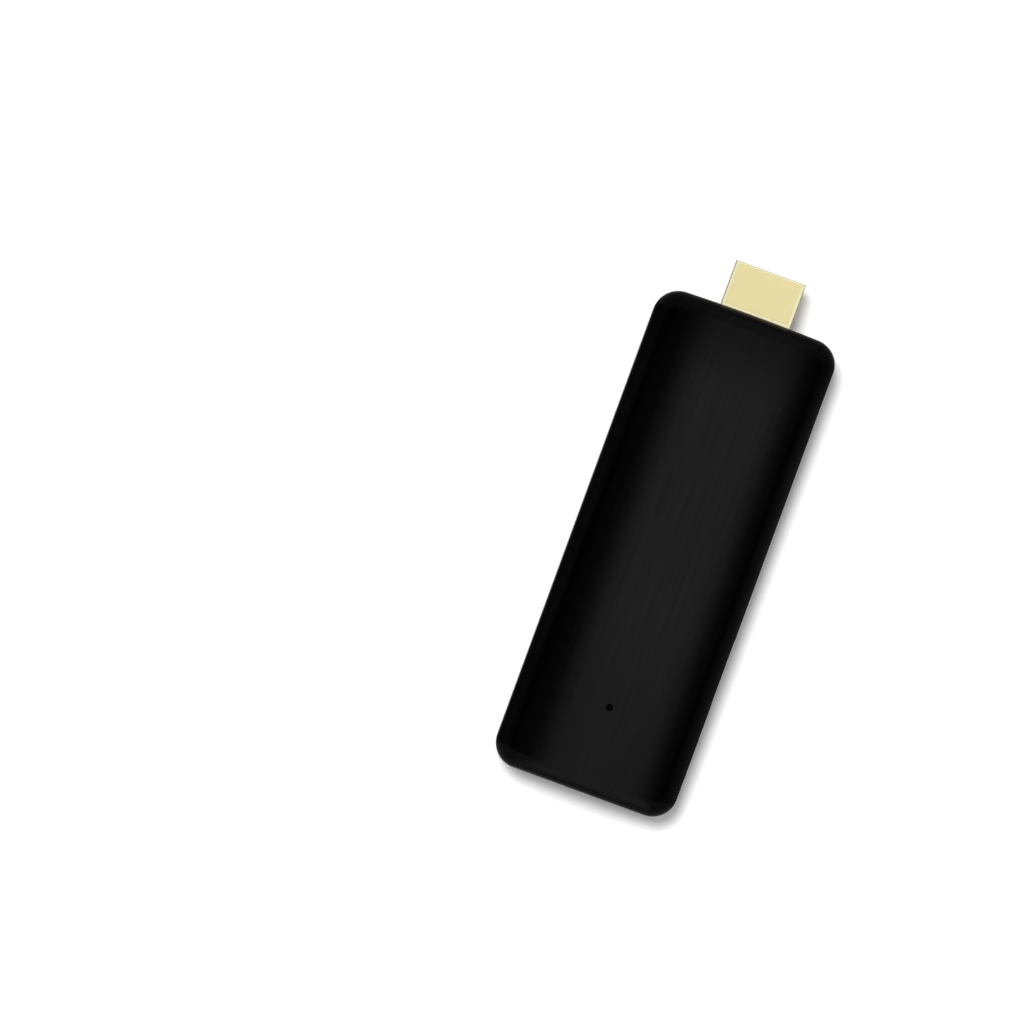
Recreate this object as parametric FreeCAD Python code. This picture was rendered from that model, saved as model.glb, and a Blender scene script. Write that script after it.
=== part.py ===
"""A plug-in streaming stick: a crowned black case with a gold video plug on its front end.

The frame has its origin in the middle of the case's underside. +Z points out of the crowned face,
+Y points along the plug, and +X is to the right when the crowned face is seen with the plug upwards.
All sizes are in millimetres. Sizes that can be set by themselves come first, and every place is
worked out from them.
"""

import FreeCAD, Part
import math
import os

V = FreeCAD.Vector

# Case
case_length = 95.3
case_width = 36.0
case_height = 12.6
corner_radius = 4.9
front_bow = 0.35
crown_rise = 1.6
top_edge_radius = 3.6
bottom_edge_radius = 2.0
wall = 1.5
smallest_fillet = 0.3
least_corner_radius = 0.1

# Joint between the two covers
lip_thickness = 0.7
lip_height = 1.1
lip_clearance = 0.1
snap_length = 6.0
snap_depth = 0.3
snap_height = 0.5
snap_clearance = 0.08
snap_below_seam = 0.66
snap_root = 0.2
rim_cut_depth = 5.0
cut_overlap = 0.01
side_snaps_from_front = (14.0, 34.0)
tail_snap_x = 9.0

# Main board and its screws
board_thickness = 1.0
board_edge_gap = 0.4
board_plane_drop = 0.4
board_front_setback = 6.65
boss_radius = 2.1
boss_from_board_edge = 3.0
front_boss_setback = 10.5
tail_boss_setback = 5.5
screw_radius = 0.85
screw_length = 3.8
screw_head_radius = 1.7
screw_head_height = 1.1
screw_recess_depth = 0.6
screw_recess_width = 0.45
screw_recess_length = 1.87
screw_head_rounding = 0.4
pilot_clearance = 0.03
pilot_depth = 3.4
board_hole_clearance = 0.25

# Video plug
plug_width = 13.9
plug_height = 4.45
plug_narrow_width = 10.2
plug_straight_side = 2.35
plug_corner_radius = 0.45
plug_wall = 0.3
plug_length = 11.9
plug_exposed = 8.8
plug_offset_x = 0.5
plug_opening_clearance = 0.12
plug_insulator_recess = 0.8
plug_insulator_clearance = 0.03
plug_cavity_width = 11.2
plug_cavity_height = 1.9
plug_cavity_depth = 9.0
plug_contact_pitch = 1.0
plug_contact_width = 0.4
plug_contact_thickness = 0.18
plug_contact_recess = 1.6
plug_contact_tail = 1.5
plug_upper_contacts = 10
plug_lower_contacts = 9
plug_tab_length = 3.0
plug_tab_height = 2.4
plug_tab_slot_clearance = 0.15
plug_dimple = (2.2, 1.4)
plug_dimple_x = 2.9
plug_dimple_from_tip = 5.0
plug_housing_side_wall = 1.55
plug_housing_height = 6.4
plug_housing_edge_radius = 0.4
plug_rib_thickness = 1.6
plug_rib_gap = 0.06
plug_rib_board_gap = 0.1
plug_rear_rib_width = 1.1
plug_board_gap = 0.3

# Data socket on the right side
socket_mouth_recess = 0.6
socket_cut_clearance = 0.15
data_width = 13.1
data_height = 5.72
data_depth = 14.0
data_wall = 0.3
data_corner_radius = 0.7
data_from_tail = 30.3
data_notch_clearance = 0.25
data_tongue_width = 11.4
data_tongue_thickness = 1.84
data_tongue_gap = 0.45
data_tongue_recess = 0.9
data_rear_block = 4.1
data_contact_offsets = (-3.5, -1.0, 1.0, 3.5)
data_contact_width = 1.0
data_contact_thickness = 0.25
data_contact_tail = 1.6
data_finger = (2.0, 4.6)
data_finger_from_mouth = 4.0
data_finger_slit = 0.35
data_finger_y = 3.2
data_ear = (5.0, 1.4, 0.3)
data_ear_from_mouth = 6.0
data_bend_from_rear = 1.5
data_contact_recess = 0.7
data_block_clearance = 0.04

# Power socket on the right side
power_width = 7.5
power_narrow_width = 5.6
power_height = 2.6
power_straight_side = 1.5
power_depth = 5.3
power_wall = 0.25
power_corner_radius = 0.4
power_from_tail = 13.0
power_tongue_width = 3.7
power_tongue_thickness = 0.6
power_tongue_height = 1.35
power_tongue_recess = 0.6
power_rear_block = 1.1
power_contacts = 5
power_contact_pitch = 0.65
power_contact_width = 0.3
power_contact_thickness = 0.12
power_contact_tail = 0.9
power_ear = (1.2, 0.8, 0.25)
power_ear_from_ends = (0.9, 0.3)
power_contact_recess = 0.4
power_block_clearance = 0.03
power_contact_slot_margin = 0.15

# Memory card socket under the board, on the left side
card_from_tail = 16.0
card_mouth_gap = 0.2
card_socket_depth = 14.9
card_base_thickness = 0.45
card_channel_width = 11.2
card_channel_height = 1.0
card_rail_width = 0.8
card_outer_rail_width = 0.6
card_slider_lane = 1.8
card_cover_thickness = 0.2
card_stop_thickness = 0.6
card_slot_clearance = 0.1
card_cover_board_gap = 0.05
card_window_margin = 0.5
card_window_from_guide = 0.6
card_window_over_slider = 1.4
card_cover_slit = (9.0, 0.6, 5.0)
card_finger_radius = 2.0
card_finger_depth = 0.5
card_finger_length = 6.5
card_contacts = 8
card_contact_pitch = 1.1
card_contact_width = 0.6
card_contact_thickness = 0.15
card_contact_start = 8.0
card_contact_tail = 0.6
card_contact_inset = 0.4
slider_start = 6.4
slider_length = 5.2
slider_clearance = 0.1
slider_lift = 0.06
slider_nose_length = 0.6
slider_nose_reach = 1.2
slider_nose_root = 0.2
slider_pocket_width = 1.0
slider_pocket_start = 3.4
slider_groove_width = 0.45
slider_groove_depth = 0.4
slider_guide_length = 5.4
spring_wire_radius = 0.07
spring_radius = 0.36
spring_turns = 7
spring_end_gap = 0.03
pin_radius = 0.12
pin_length = 6.6
pin_start = 3.0

# Reset switch under the board, on the left side
reset_from_tail = 27.5
reset_edge_setback = 0.6
reset_body = (3.0, 4.4, 1.5)
reset_button_out = 0.6
reset_button_half_width = 0.8
reset_button_half_height = 0.3
reset_shoulder_half_width = 1.12
reset_shoulder_length = 0.5
reset_front_wall = 0.3
reset_cavity_half_width = 1.2
reset_cavity_half_height = 0.45
reset_cavity_length = 1.1
reset_clearance = 0.04
reset_end_gap = 0.02
reset_dome_inset = 0.1
reset_lip_margin = (0.4, 0.3)
reset_dome_thickness = 0.08
reset_frame_thickness = 0.15
reset_pinhole_radius = 0.6

# Status light
light_from_tail = 16.9
light_hole_radius = 0.65
light_pipe_clearance = 0.05
light_pipe_recess = 0.5
light_pipe_gap = 0.3
light_flange_radius = 1.3
light_flange_thickness = 0.6
light_flange_gap = 0.04
light_chip = (0.8, 1.6, 0.35)
light_lens = (0.8, 1.0, 0.35)

# Infrared window and receiver at the tail
window_width = 9.0
window_height = 2.2
window_lift = 0.3
window_clearance = 0.06
window_recess = 0.1
window_flange_margin = 0.8
window_flange_thickness = 0.6
receiver = (6.8, 3.0, 2.6)
receiver_setback = 3.0
receiver_lens_radius = 1.2
receiver_lens_out = 0.4

# Chips and small parts: size along X, along Y, and height
processor = (14.0, 12.0, 1.2)
memory = (13.3, 7.5, 1.0)
flash = (11.5, 13.0, 1.0)
chip_gap = 0.8
memory_from_board_front = 4.0
flash_from_board_front = 14.0
pad_thickness = 0.5
spreader_thickness = 1.0
spreader_width = 14.6
spreader_end_margin = 0.5
spreader_corner_radius = 1.0
pad_inset = 0.5
hold_down_gap = 0.1
hold_down_thickness = 1.0
hold_down_length = 12.6
crystal = (2.5, 3.2, 0.7)
inductor = (4.0, 4.0, 1.9)
inductor_chamfer = 0.7
inductor_pitch = 6.5
inductor_from_board_front = 26.0
regulator = (2.9, 1.6, 1.1)
regulator_steps = (10.0, 16.0, 22.0)
edge_part_margin = 1.0
capacitor = (0.8, 1.6, 0.8)
capacitor_count = 9
capacitor_pitch = 2.8
capacitor_gap = 0.25
capacitor_start = 7.0
wifi_board = (10.5, 12.0, 0.8)
wifi_can_margin = 0.7
wifi_outset = 0.2
wifi_can_height = 1.2
wifi_can_wall = 0.2
wifi_can_walls = (2 * wifi_can_wall, 2 * wifi_can_wall, wifi_can_wall)
antenna = (2.0, 7.0, 1.2)
antenna_from_tail = 14.5

# Underside
label_size = (24.0, 26.0)
label_recess = 0.2
label_thickness = 0.15
label_edge_gap = 0.1
label_corner_radius = 1.2
label_from_front = 26.0
vent_count = 8
vent_pitch = 2.6
vent_length = 9.0
vent_width = 1.2
vent_columns = (-6.0, 6.0)
vents_from_tail = 24.0

# Planes and places that follow from the sizes above
front_y = case_length / 2
tail_y = -case_length / 2
side_x = case_width / 2
plug_z = case_height / 2 - board_plane_drop
board_top = plug_z + board_thickness / 2
board_bottom = plug_z - board_thickness / 2
seam_z = board_top
ceiling_z = case_height - wall
board_half_width = side_x - wall - board_edge_gap
board_front_y = front_y - board_front_setback
front_bow_radius = (side_x ** 2 + front_bow ** 2) / (2 * front_bow)
crown_radius = (side_x ** 2 + crown_rise ** 2) / (2 * crown_rise)
plug_tip_y = front_y + plug_exposed
plug_housing_width = plug_width + 2 * plug_housing_side_wall
plug_shoulder_y = plug_tip_y - plug_length
plug_rear_y = board_front_y + plug_board_gap
socket_mouth_x = side_x - socket_mouth_recess
data_y = tail_y + data_from_tail
power_y = tail_y + power_from_tail
card_y = tail_y + card_from_tail
card_mouth_x = -side_x + wall + card_mouth_gap
reset_y = tail_y + reset_from_tail
reset_z = board_bottom - reset_body[2] / 2
reset_face_x = -board_half_width + reset_edge_setback
light_y = tail_y + light_from_tail
window_z = board_top + window_lift + window_height / 2
memory_front_y = board_front_y - memory_from_board_front
processor_y = memory_front_y - memory[1] - chip_gap - processor[1] / 2
memory_y = (memory_front_y - memory[1] / 2, processor_y - processor[1] / 2 - chip_gap - memory[1] / 2)
spreader_bottom = board_top + processor[2] + pad_thickness
spreader_top = spreader_bottom + spreader_thickness
boss_x = board_half_width - boss_from_board_edge
boss_places = [
    (sign * boss_x, y)
    for sign in (-1, 1)
    for y in (front_y - front_boss_setback, tail_y + tail_boss_setback)
]


def box(x, y, z):
    """A block between the two numbers given for each axis."""
    lows, highs = [min(r) for r in (x, y, z)], [max(r) for r in (x, y, z)]
    return Part.makeBox(highs[0] - lows[0], highs[1] - lows[1], highs[2] - lows[2], V(*lows))


def block(size, centre_x, centre_y, bottom):
    """A block of a (x, y, height) size that stands on the height bottom."""
    half_x, half_y = size[0] / 2, size[1] / 2
    return box(
        (centre_x - half_x, centre_x + half_x),
        (centre_y - half_y, centre_y + half_y),
        (bottom, bottom + size[2]),
    )


def hung(size, centre_x, centre_y, top):
    """A block of a (x, y, height) size that hangs under the height top."""
    return block(size, centre_x, centre_y, top - size[2])


def centred(centre, length):
    """The low and high end of a stretch of that length."""
    return (centre - length / 2, centre + length / 2)


def grown(shape, by):
    """The box around a shape, larger by the same amount on every side."""
    b = shape.BoundBox
    return box((b.XMin - by, b.XMax + by), (b.YMin - by, b.YMax + by), (b.ZMin - by, b.ZMax + by))


def rounded_face(points, radius, place):
    """A face with the corners of a polygon rounded. place turns (u, v) into a point in space."""
    edges, ends = [], []
    for i, corner in enumerate(points):
        before, after = points[i - 1], points[(i + 1) % len(points)]
        a = (V(*before, 0) - V(*corner, 0)).normalize()
        b = (V(*after, 0) - V(*corner, 0)).normalize()
        half = a.getAngle(b) / 2
        middle = (a + b).normalize() * (radius / math.sin(half))
        start = V(*corner, 0) + a * (radius / math.tan(half))
        end = V(*corner, 0) + b * (radius / math.tan(half))
        top = V(*corner, 0) + middle - (a + b).normalize() * radius
        edges.append(Part.Arc(place(start), place(top), place(end)).toShape())
        ends.append((place(start), place(end)))
    sides = [
        Part.LineSegment(ends[i - 1][1], ends[i][0]).toShape()
        for i in range(len(points))
        if (ends[i - 1][1] - ends[i][0]).Length > 1e-6
    ]
    return Part.Face(Part.Wire(Part.__sortEdges__(edges + sides)))


def offset_outline(points, by):
    """The corners of a convex polygon whose sides all move outwards by the same amount."""
    centre = V(sum(p[0] for p in points) / len(points), sum(p[1] for p in points) / len(points), 0)
    sides = []
    for i, point in enumerate(points):
        start, end = V(*points[i - 1], 0), V(*point, 0)
        out = (end - start).cross(V(0, 0, 1)).normalize()
        if out.dot(start - centre) < 0:
            out = out * -1
        sides.append((start + out * by, end - start))
    corners = []
    for i, (start, along) in enumerate(sides):
        other, turn = sides[(i + 1) % len(sides)]
        share = (other - start).cross(turn).z / along.cross(turn).z
        corner = start + along * share
        corners.append((corner.x, corner.y))
    return corners


def rounded_slab(size, centre_x, centre_y, bottom, radius):
    """A plate of a (x, y, thickness) size with rounded corners in plan."""
    x, y = centred(centre_x, size[0]), centred(centre_y, size[1])
    corners = [(x[0], y[0]), (x[1], y[0]), (x[1], y[1]), (x[0], y[1])]
    face = rounded_face(corners, radius, lambda p: V(p.x, p.y, bottom))
    return face.extrude(V(0, 0, size[2]))


def plan_face(inset, z):
    """The case's outline in plan at a height, drawn in by inset all round."""
    radius = corner_radius - inset
    corner_x = side_x - corner_radius
    tail_corner_y = tail_y + corner_radius
    bow_y = front_y - front_bow_radius
    front_corner_y = bow_y + math.sqrt((front_bow_radius - corner_radius) ** 2 - corner_x ** 2)
    turn = math.atan2(front_corner_y - bow_y, corner_x)

    def on(x, y, r, angle):
        return V(x + r * math.cos(angle), y + r * math.sin(angle), z)

    def arc(x, y, r, start, end):
        return Part.Arc(on(x, y, r, start), on(x, y, r, (start + end) / 2), on(x, y, r, end)).toShape()

    def line(x0, y0, x1, y1):
        return Part.LineSegment(V(x0, y0, z), V(x1, y1, z)).toShape()

    side = side_x - inset
    tail = tail_y + inset
    quarter = math.pi / 2
    edges = [
        line(-corner_x, tail, corner_x, tail),
        arc(corner_x, tail_corner_y, radius, -quarter, 0),
        line(side, tail_corner_y, side, front_corner_y),
        arc(corner_x, front_corner_y, radius, 0, turn),
        arc(0, bow_y, front_bow_radius - inset, turn, math.pi - turn),
        arc(-corner_x, front_corner_y, radius, math.pi - turn, math.pi),
        line(-side, front_corner_y, -side, tail_corner_y),
        arc(-corner_x, tail_corner_y, radius, math.pi, 3 * quarter),
    ]
    return Part.Face(Part.Wire(edges))


def plan_prism(inset, low, high):
    """The case's outline, drawn in by inset, as a solid between two heights."""
    return plan_face(inset, low).extrude(V(0, 0, high - low))


def crowned_block(inset, low):
    """The space inside the crowned upper surface, drawn in by inset, above a height."""
    prism = plan_prism(inset, low, case_height + 1)
    radius = crown_radius - inset
    centre_z = case_height - crown_radius
    reach = side_x + 2
    drop = radius - math.sqrt(radius ** 2 - reach ** 2)
    back = tail_y - 5
    left = V(-reach, back, centre_z + radius - drop)
    right = V(reach, back, centre_z + radius - drop)
    foot_z = low - 5
    edges = [
        Part.Arc(left, V(0, back, centre_z + radius), right).toShape(),
        Part.LineSegment(right, V(reach, back, foot_z)).toShape(),
        Part.LineSegment(V(reach, back, foot_z), V(-reach, back, foot_z)).toShape(),
        Part.LineSegment(V(-reach, back, foot_z), left).toShape(),
    ]
    under_crown = Part.Face(Part.Wire(edges)).extrude(V(0, case_length + 10, 0))
    solid = prism.common(under_crown).Solids[0]
    crown = [
        f
        for f in solid.Faces
        if isinstance(f.Surface, Part.Cylinder) and abs(f.Surface.Radius - radius) < 1e-4
    ]
    rounding = max(top_edge_radius - inset, smallest_fillet)
    return solid.makeFillet(rounding, crown[0].Edges).Solids[0]


def tray_block(inset, high):
    """The space inside the lower surface, drawn in by inset, below a height."""
    prism = plan_prism(inset, inset, high)
    foot = [e for e in prism.Edges if e.BoundBox.ZMax < inset + 1e-6]
    return prism.makeFillet(max(bottom_edge_radius - inset, smallest_fillet), foot).Solids[0]


def plug_profile(grow, y):
    """The plug's cross-section at a place along Y, larger all round by grow."""
    half, narrow = plug_width / 2, plug_narrow_width / 2
    top, bottom = plug_z + plug_height / 2, plug_z - plug_height / 2
    knee = top - plug_straight_side
    x = plug_offset_x
    points = [
        (x - half, top),
        (x - half, knee),
        (x - narrow, bottom),
        (x + narrow, bottom),
        (x + half, knee),
        (x + half, top),
    ]
    radius = max(plug_corner_radius + grow, least_corner_radius)
    return rounded_face(offset_outline(points, grow), radius, lambda p: V(p.x, y, p.y))


def plug_prism(grow, y0, y1):
    """The plug's cross-section as a solid between two places along Y."""
    return plug_profile(grow, y0).extrude(V(0, y1 - y0, 0))


def make_plug_shell():
    """The plug's formed metal shell, with its two side tabs and the spring windows underneath."""
    shell = plug_prism(0, plug_rear_y, plug_tip_y).cut(
        plug_prism(-plug_wall, plug_rear_y - 1, plug_tip_y + 1)
    )
    z = centred(plug_z, plug_tab_height)
    for sign in (-1, 1):
        edge = plug_offset_x + sign * plug_width / 2
        tab = box(
            (edge, edge - sign * plug_wall),
            (plug_rear_y - plug_tab_length, plug_rear_y + plug_corner_radius),
            (max(z[0], plug_z + plug_height / 2 - plug_straight_side), z[1]),
        )
        shell = shell.fuse(tab)
        window_y = plug_tip_y - plug_dimple_from_tip
        window = box(
            centred(plug_offset_x + sign * plug_dimple_x, plug_dimple[0]),
            (window_y - plug_dimple[1], window_y),
            (plug_z - plug_height, plug_z - plug_height / 2 + 1.5 * plug_wall),
        )
        shell = shell.cut(window)
    return shell.removeSplitter()


def make_plug_contacts():
    """The plug's two rows of contacts, each running back to lie on the board."""
    y = (board_front_y - plug_contact_tail, plug_tip_y - plug_contact_recess)
    rows = ((plug_upper_contacts, 1), (plug_lower_contacts, -1))
    contacts = []
    for count, sign in rows:
        near = plug_z + sign * board_thickness / 2
        for i in range(count):
            x = plug_offset_x + (i - (count - 1) / 2) * plug_contact_pitch
            contacts.append(
                box(centred(x, plug_contact_width), y, (near, near + sign * plug_contact_thickness))
            )
    return Part.makeCompound(contacts)


def make_plug_insulator(contacts):
    """The plastic core that fills the shell, open at the front around the contacts."""
    front = plug_tip_y - plug_insulator_recess
    core = plug_prism(-plug_wall - plug_insulator_clearance, plug_rear_y, front)
    cavity = box(
        centred(plug_offset_x, plug_cavity_width),
        (front - plug_cavity_depth, front + 1),
        centred(plug_z, plug_cavity_height),
    )
    return core.cut(cavity).cut(contacts)


def make_plug_housing():
    """The plastic block round the shell's rear, which the covers' ribs hold fast."""
    body = box(
        centred(plug_offset_x, plug_housing_width),
        (plug_rear_y, plug_shoulder_y),
        centred(plug_z, plug_housing_height),
    )
    along = [e for e in body.Edges if abs(e.Vertexes[0].Y - e.Vertexes[-1].Y) > 1e-6]
    body = body.makeFillet(plug_housing_edge_radius, along)
    return body.cut(plug_prism(plug_insulator_clearance, plug_rear_y - 1, plug_shoulder_y + 1))


def plug_ribs(low, high):
    """Ribs before and behind the plug's housing, between two heights."""
    ribs = []
    for sign in (-1, 1):
        outer = plug_offset_x + sign * plug_housing_width / 2
        x = (outer, outer - sign * plug_rib_thickness)
        ahead = (plug_shoulder_y + plug_rib_gap, front_y - wall / 2)
        ribs.append(box(x, ahead, (low, high)))
        behind = (plug_rear_y - plug_rib_gap - plug_rib_thickness, plug_rear_y - plug_rib_gap)
        ribs.append(box((outer, outer - sign * plug_rear_rib_width), behind, (low, high)))
    return ribs


def data_place(shape):
    """Moves a piece of the data socket from its own frame, mouth at the origin, to the case."""
    return shape.translated(V(socket_mouth_x, data_y, plug_z))


def data_prism(grow, x0, x1):
    """The data socket's rounded cross-section as a solid along X, in its own frame."""
    y, z = data_width / 2, data_height / 2
    points = offset_outline([(-y, -z), (y, -z), (y, z), (-y, z)], grow)
    face = rounded_face(points, data_corner_radius + grow, lambda p: V(x0, p.x, p.y))
    return face.extrude(V(x1 - x0, 0, 0))


def make_data_contacts():
    """Four contacts under the tongue that step up and come out on the board."""
    under = data_height / 2 - data_wall - data_tongue_gap - data_tongue_thickness
    thick = data_contact_thickness
    bend_x = -data_depth + data_bend_from_rear
    on_board = board_thickness / 2
    contacts = []
    for offset in data_contact_offsets:
        y = centred(offset, data_contact_width)
        blade = box((bend_x, -data_tongue_recess - data_contact_recess), y, (under - thick, under))
        riser = box((bend_x, bend_x + thick), y, (under - thick, on_board + thick))
        tail = box((-data_depth - data_contact_tail, bend_x + thick), y, (on_board, on_board + thick))
        contacts.append(data_place(blade.fuse([riser, tail]).removeSplitter()))
    return Part.makeCompound(contacts)


def make_data_tongue(contacts):
    """The data socket's plastic tongue and the block that it grows from."""
    top = data_height / 2 - data_wall - data_tongue_gap
    back = -data_depth + data_wall
    gap = data_block_clearance
    rear = data_prism(-data_wall - gap, back + gap, back + data_rear_block)
    tongue = box(
        (back + data_rear_block / 2, -data_tongue_recess),
        centred(0, data_tongue_width),
        (top - data_tongue_thickness, top),
    )
    return data_place(rear.fuse(tongue)).removeSplitter().cut(contacts)


def make_data_shell(contacts):
    """The data socket's metal shell, with spring fingers, ears on the board and a closed back."""
    shell = data_prism(0, -data_depth, 0).cut(data_prism(-data_wall, -data_depth + data_wall, 1))
    width, length = data_finger
    tip_x, ear_x = -data_finger_from_mouth, -data_ear_from_mouth
    for side in (-1, 1):
        z = sorted((side * (data_height / 2 - 1.5 * data_wall), side * (data_height / 2 + 1)))
        for y in (-data_finger_y, data_finger_y):
            for edge in (-1, 1):
                slit = centred(y + edge * (width / 2 + data_finger_slit / 2), data_finger_slit)
                shell = shell.cut(box((tip_x - length, tip_x), slit, z))
            tip = (tip_x - data_finger_slit, tip_x)
            shell = shell.cut(box(tip, centred(y, width + 2 * data_finger_slit), z))
        ear_y = (side * (data_width / 2 - data_wall / 2), side * (data_width / 2 + data_ear[1]))
        ear_z = (board_thickness / 2, board_thickness / 2 + data_ear[2])
        shell = shell.fuse(box((ear_x - data_ear[0], ear_x), ear_y, ear_z))
    shell = data_place(shell)
    for contact in contacts.Solids:
        back = (-side_x, socket_mouth_x - data_depth + data_bend_from_rear / 2)
        above = (board_top - socket_cut_clearance, case_height)
        shell = shell.cut(grown(contact, socket_cut_clearance).common(box(back, (tail_y, front_y), above)))
    return shell.removeSplitter()


def power_place(shape):
    """Moves a piece of the power socket from its own frame to the board's right edge."""
    return shape.translated(V(socket_mouth_x, power_y, board_top))


def power_prism(grow, x0, x1):
    """The power socket's tapered cross-section as a solid along X, in its own frame."""
    half, narrow = power_width / 2, power_narrow_width / 2
    top, knee = power_height, power_height - power_straight_side
    points = [(-half, top), (-half, knee), (-narrow, 0), (narrow, 0), (half, knee), (half, top)]
    radius = max(power_corner_radius + grow, least_corner_radius)
    face = rounded_face(offset_outline(points, grow), radius, lambda p: V(x0, p.x, p.y))
    return face.extrude(V(x1 - x0, 0, 0))


def make_power_contacts():
    """Five fine contacts under the tongue that come down and out onto the board."""
    thick = power_contact_thickness
    bend_x = -power_depth + power_rear_block / 2
    contacts = []
    for i in range(power_contacts):
        y = centred((i - (power_contacts - 1) / 2) * power_contact_pitch, power_contact_width)
        z = power_tongue_height
        blade = box((bend_x, -power_tongue_recess - power_contact_recess), y, (z - thick, z))
        riser = box((bend_x, bend_x + thick), y, (0, z))
        tail = box((-power_depth - power_contact_tail, bend_x + thick), y, (0, thick))
        contacts.append(power_place(blade.fuse([riser, tail]).removeSplitter()))
    return Part.makeCompound(contacts)


def make_power_tongue(contacts):
    """The power socket's plastic tongue and rear block."""
    rear = power_prism(-power_wall - power_block_clearance, -power_depth, -power_depth + power_rear_block)
    low = power_tongue_height
    tongue = box(
        (-power_depth + power_rear_block / 2, -power_tongue_recess),
        centred(0, power_tongue_width),
        (low, low + power_tongue_thickness),
    )
    return power_place(rear.fuse(tongue)).removeSplitter().cut(contacts)


def make_power_shell():
    """The power socket's folded metal shell with four feet on the board."""
    shell = power_prism(0, -power_depth, 0).cut(power_prism(-power_wall, -power_depth - 1, 1))
    for x in (-power_depth + power_ear_from_ends[1], -power_ear[0] - power_ear_from_ends[0]):
        for side in (-1, 1):
            foot_y = (side * power_narrow_width / 2, side * (power_width / 2 + power_ear[1]))
            foot = box((x, x + power_ear[0]), foot_y, (0, power_ear[2]))
            shell = shell.fuse(foot.cut(power_prism(-power_wall, -power_depth - 1, 1)))
    tails = (power_contacts - 1) * power_contact_pitch + power_contact_width + 2 * power_contact_slot_margin
    gap = box((-power_depth - 1, -power_depth + power_rear_block), centred(0, tails), (-1, 2 * power_wall))
    return power_place(shell.cut(gap)).removeSplitter()


# The card socket is drawn with u inwards from its mouth, v across it and w down from the board.
card_half_width = (card_channel_width + card_rail_width + card_slider_lane + card_outer_rail_width) / 2
card_low_v = -card_half_width + card_rail_width
card_lane_v = (card_low_v + card_channel_width, card_half_width - card_outer_rail_width)
card_roof = card_base_thickness + card_channel_height
card_stop_u = card_socket_depth - card_stop_thickness


def card_box(u, v, w):
    """A block of the card socket, placed under the board behind its mouth."""
    return box(
        (card_mouth_x + u[0], card_mouth_x + u[1]),
        (card_y + v[0], card_y + v[1]),
        (board_bottom - w[1], board_bottom - w[0]),
    )


def make_card_contacts():
    """Eight flat contacts on the base that come out behind the stop."""
    first = card_low_v + card_contact_inset
    u = (card_contact_start, card_socket_depth + card_contact_tail)
    contacts = []
    for i in range(card_contacts):
        v = first + i * card_contact_pitch
        w = (card_base_thickness, card_base_thickness + card_contact_thickness)
        contacts.append(card_box(u, (v, v + card_contact_width), w))
    return Part.makeCompound(contacts)


def make_card_pin():
    """The straight wire that runs in the slider's groove and latches it."""
    v = (card_lane_v[0] + card_lane_v[1]) / 2
    z = board_bottom - card_roof + slider_lift + slider_groove_depth / 2
    start = V(card_mouth_x + pin_start, card_y + v, z)
    return Part.makeCylinder(pin_radius, pin_length, start, V(1, 0, 0))


def make_card_base(contacts, pin):
    """The card socket's plastic base: plate, rails, slider lane with its guide, and end stop."""
    channel = (card_base_thickness, card_roof)
    plate = card_box((0, card_socket_depth), (-card_half_width, card_half_width), (0, card_base_thickness))
    low_rail = card_box((0, card_socket_depth), (-card_half_width, card_low_v), channel)
    high_rail = card_box((0, card_socket_depth), (card_lane_v[1], card_half_width), channel)
    stop = card_box((card_stop_u, card_socket_depth), (-card_half_width, card_half_width), channel)
    guide = card_box((0, slider_guide_length), card_lane_v, channel)
    base = plate.fuse([low_rail, high_rail, stop, guide]).removeSplitter()
    return base.cut(contacts).cut(pin)


def make_card_cover():
    """The card socket's folded metal cover, with the latch window over the slider lane."""
    width = (-card_half_width, card_half_width)
    plate = card_box((0, card_socket_depth), width, (card_roof, card_roof + card_cover_thickness))
    sides = []
    for sign in (-1, 1):
        v = sorted((sign * card_half_width, sign * (card_half_width + card_cover_thickness)))
        w = (card_cover_board_gap, card_roof + card_cover_thickness)
        sides.append(card_box((0, card_socket_depth), v, w))
    through = (card_roof - 1, card_roof + 1)
    lane = (card_lane_v[0] + card_window_margin, card_lane_v[1] - card_window_margin)
    over_slider = (slider_guide_length + card_window_from_guide, slider_start + card_window_over_slider)
    window = card_box(over_slider, lane, through)
    slit_start, slit_width, slit_length = card_cover_slit
    slit_v = centred((card_low_v + card_lane_v[0]) / 2, slit_length)
    slit = card_box((slit_start, slit_start + slit_width), slit_v, through)
    return plate.fuse(sides).removeSplitter().cut(window).cut(slit)


def make_card_slider():
    """The ejector slider: a block with a nose behind the card, a spring pocket and a pin groove."""
    v = (card_lane_v[0] + slider_clearance, card_lane_v[1] - slider_clearance)
    w = (card_base_thickness + slider_lift, card_roof - slider_lift)
    u = (slider_start, slider_start + slider_length)
    body = card_box(u, v, w)
    nose_w = (card_base_thickness + 2 * card_contact_thickness, card_roof - slider_lift)
    nose_v = (v[0] - slider_nose_reach, v[0] + slider_nose_root)
    nose = card_box((u[1] - slider_nose_length, u[1]), nose_v, nose_w)
    middle = (card_lane_v[0] + card_lane_v[1]) / 2
    pocket = card_box(
        (u[0] + slider_pocket_start, u[1] + 1),
        centred(middle, slider_pocket_width),
        (w[0] - 1, w[1] + 1),
    )
    groove = card_box(
        (u[0] - 1, u[1] + 1),
        centred(middle, slider_groove_width),
        (w[1] - slider_groove_depth, w[1] + 1),
    )
    return body.fuse(nose).removeSplitter().cut(pocket).cut(groove)


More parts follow.
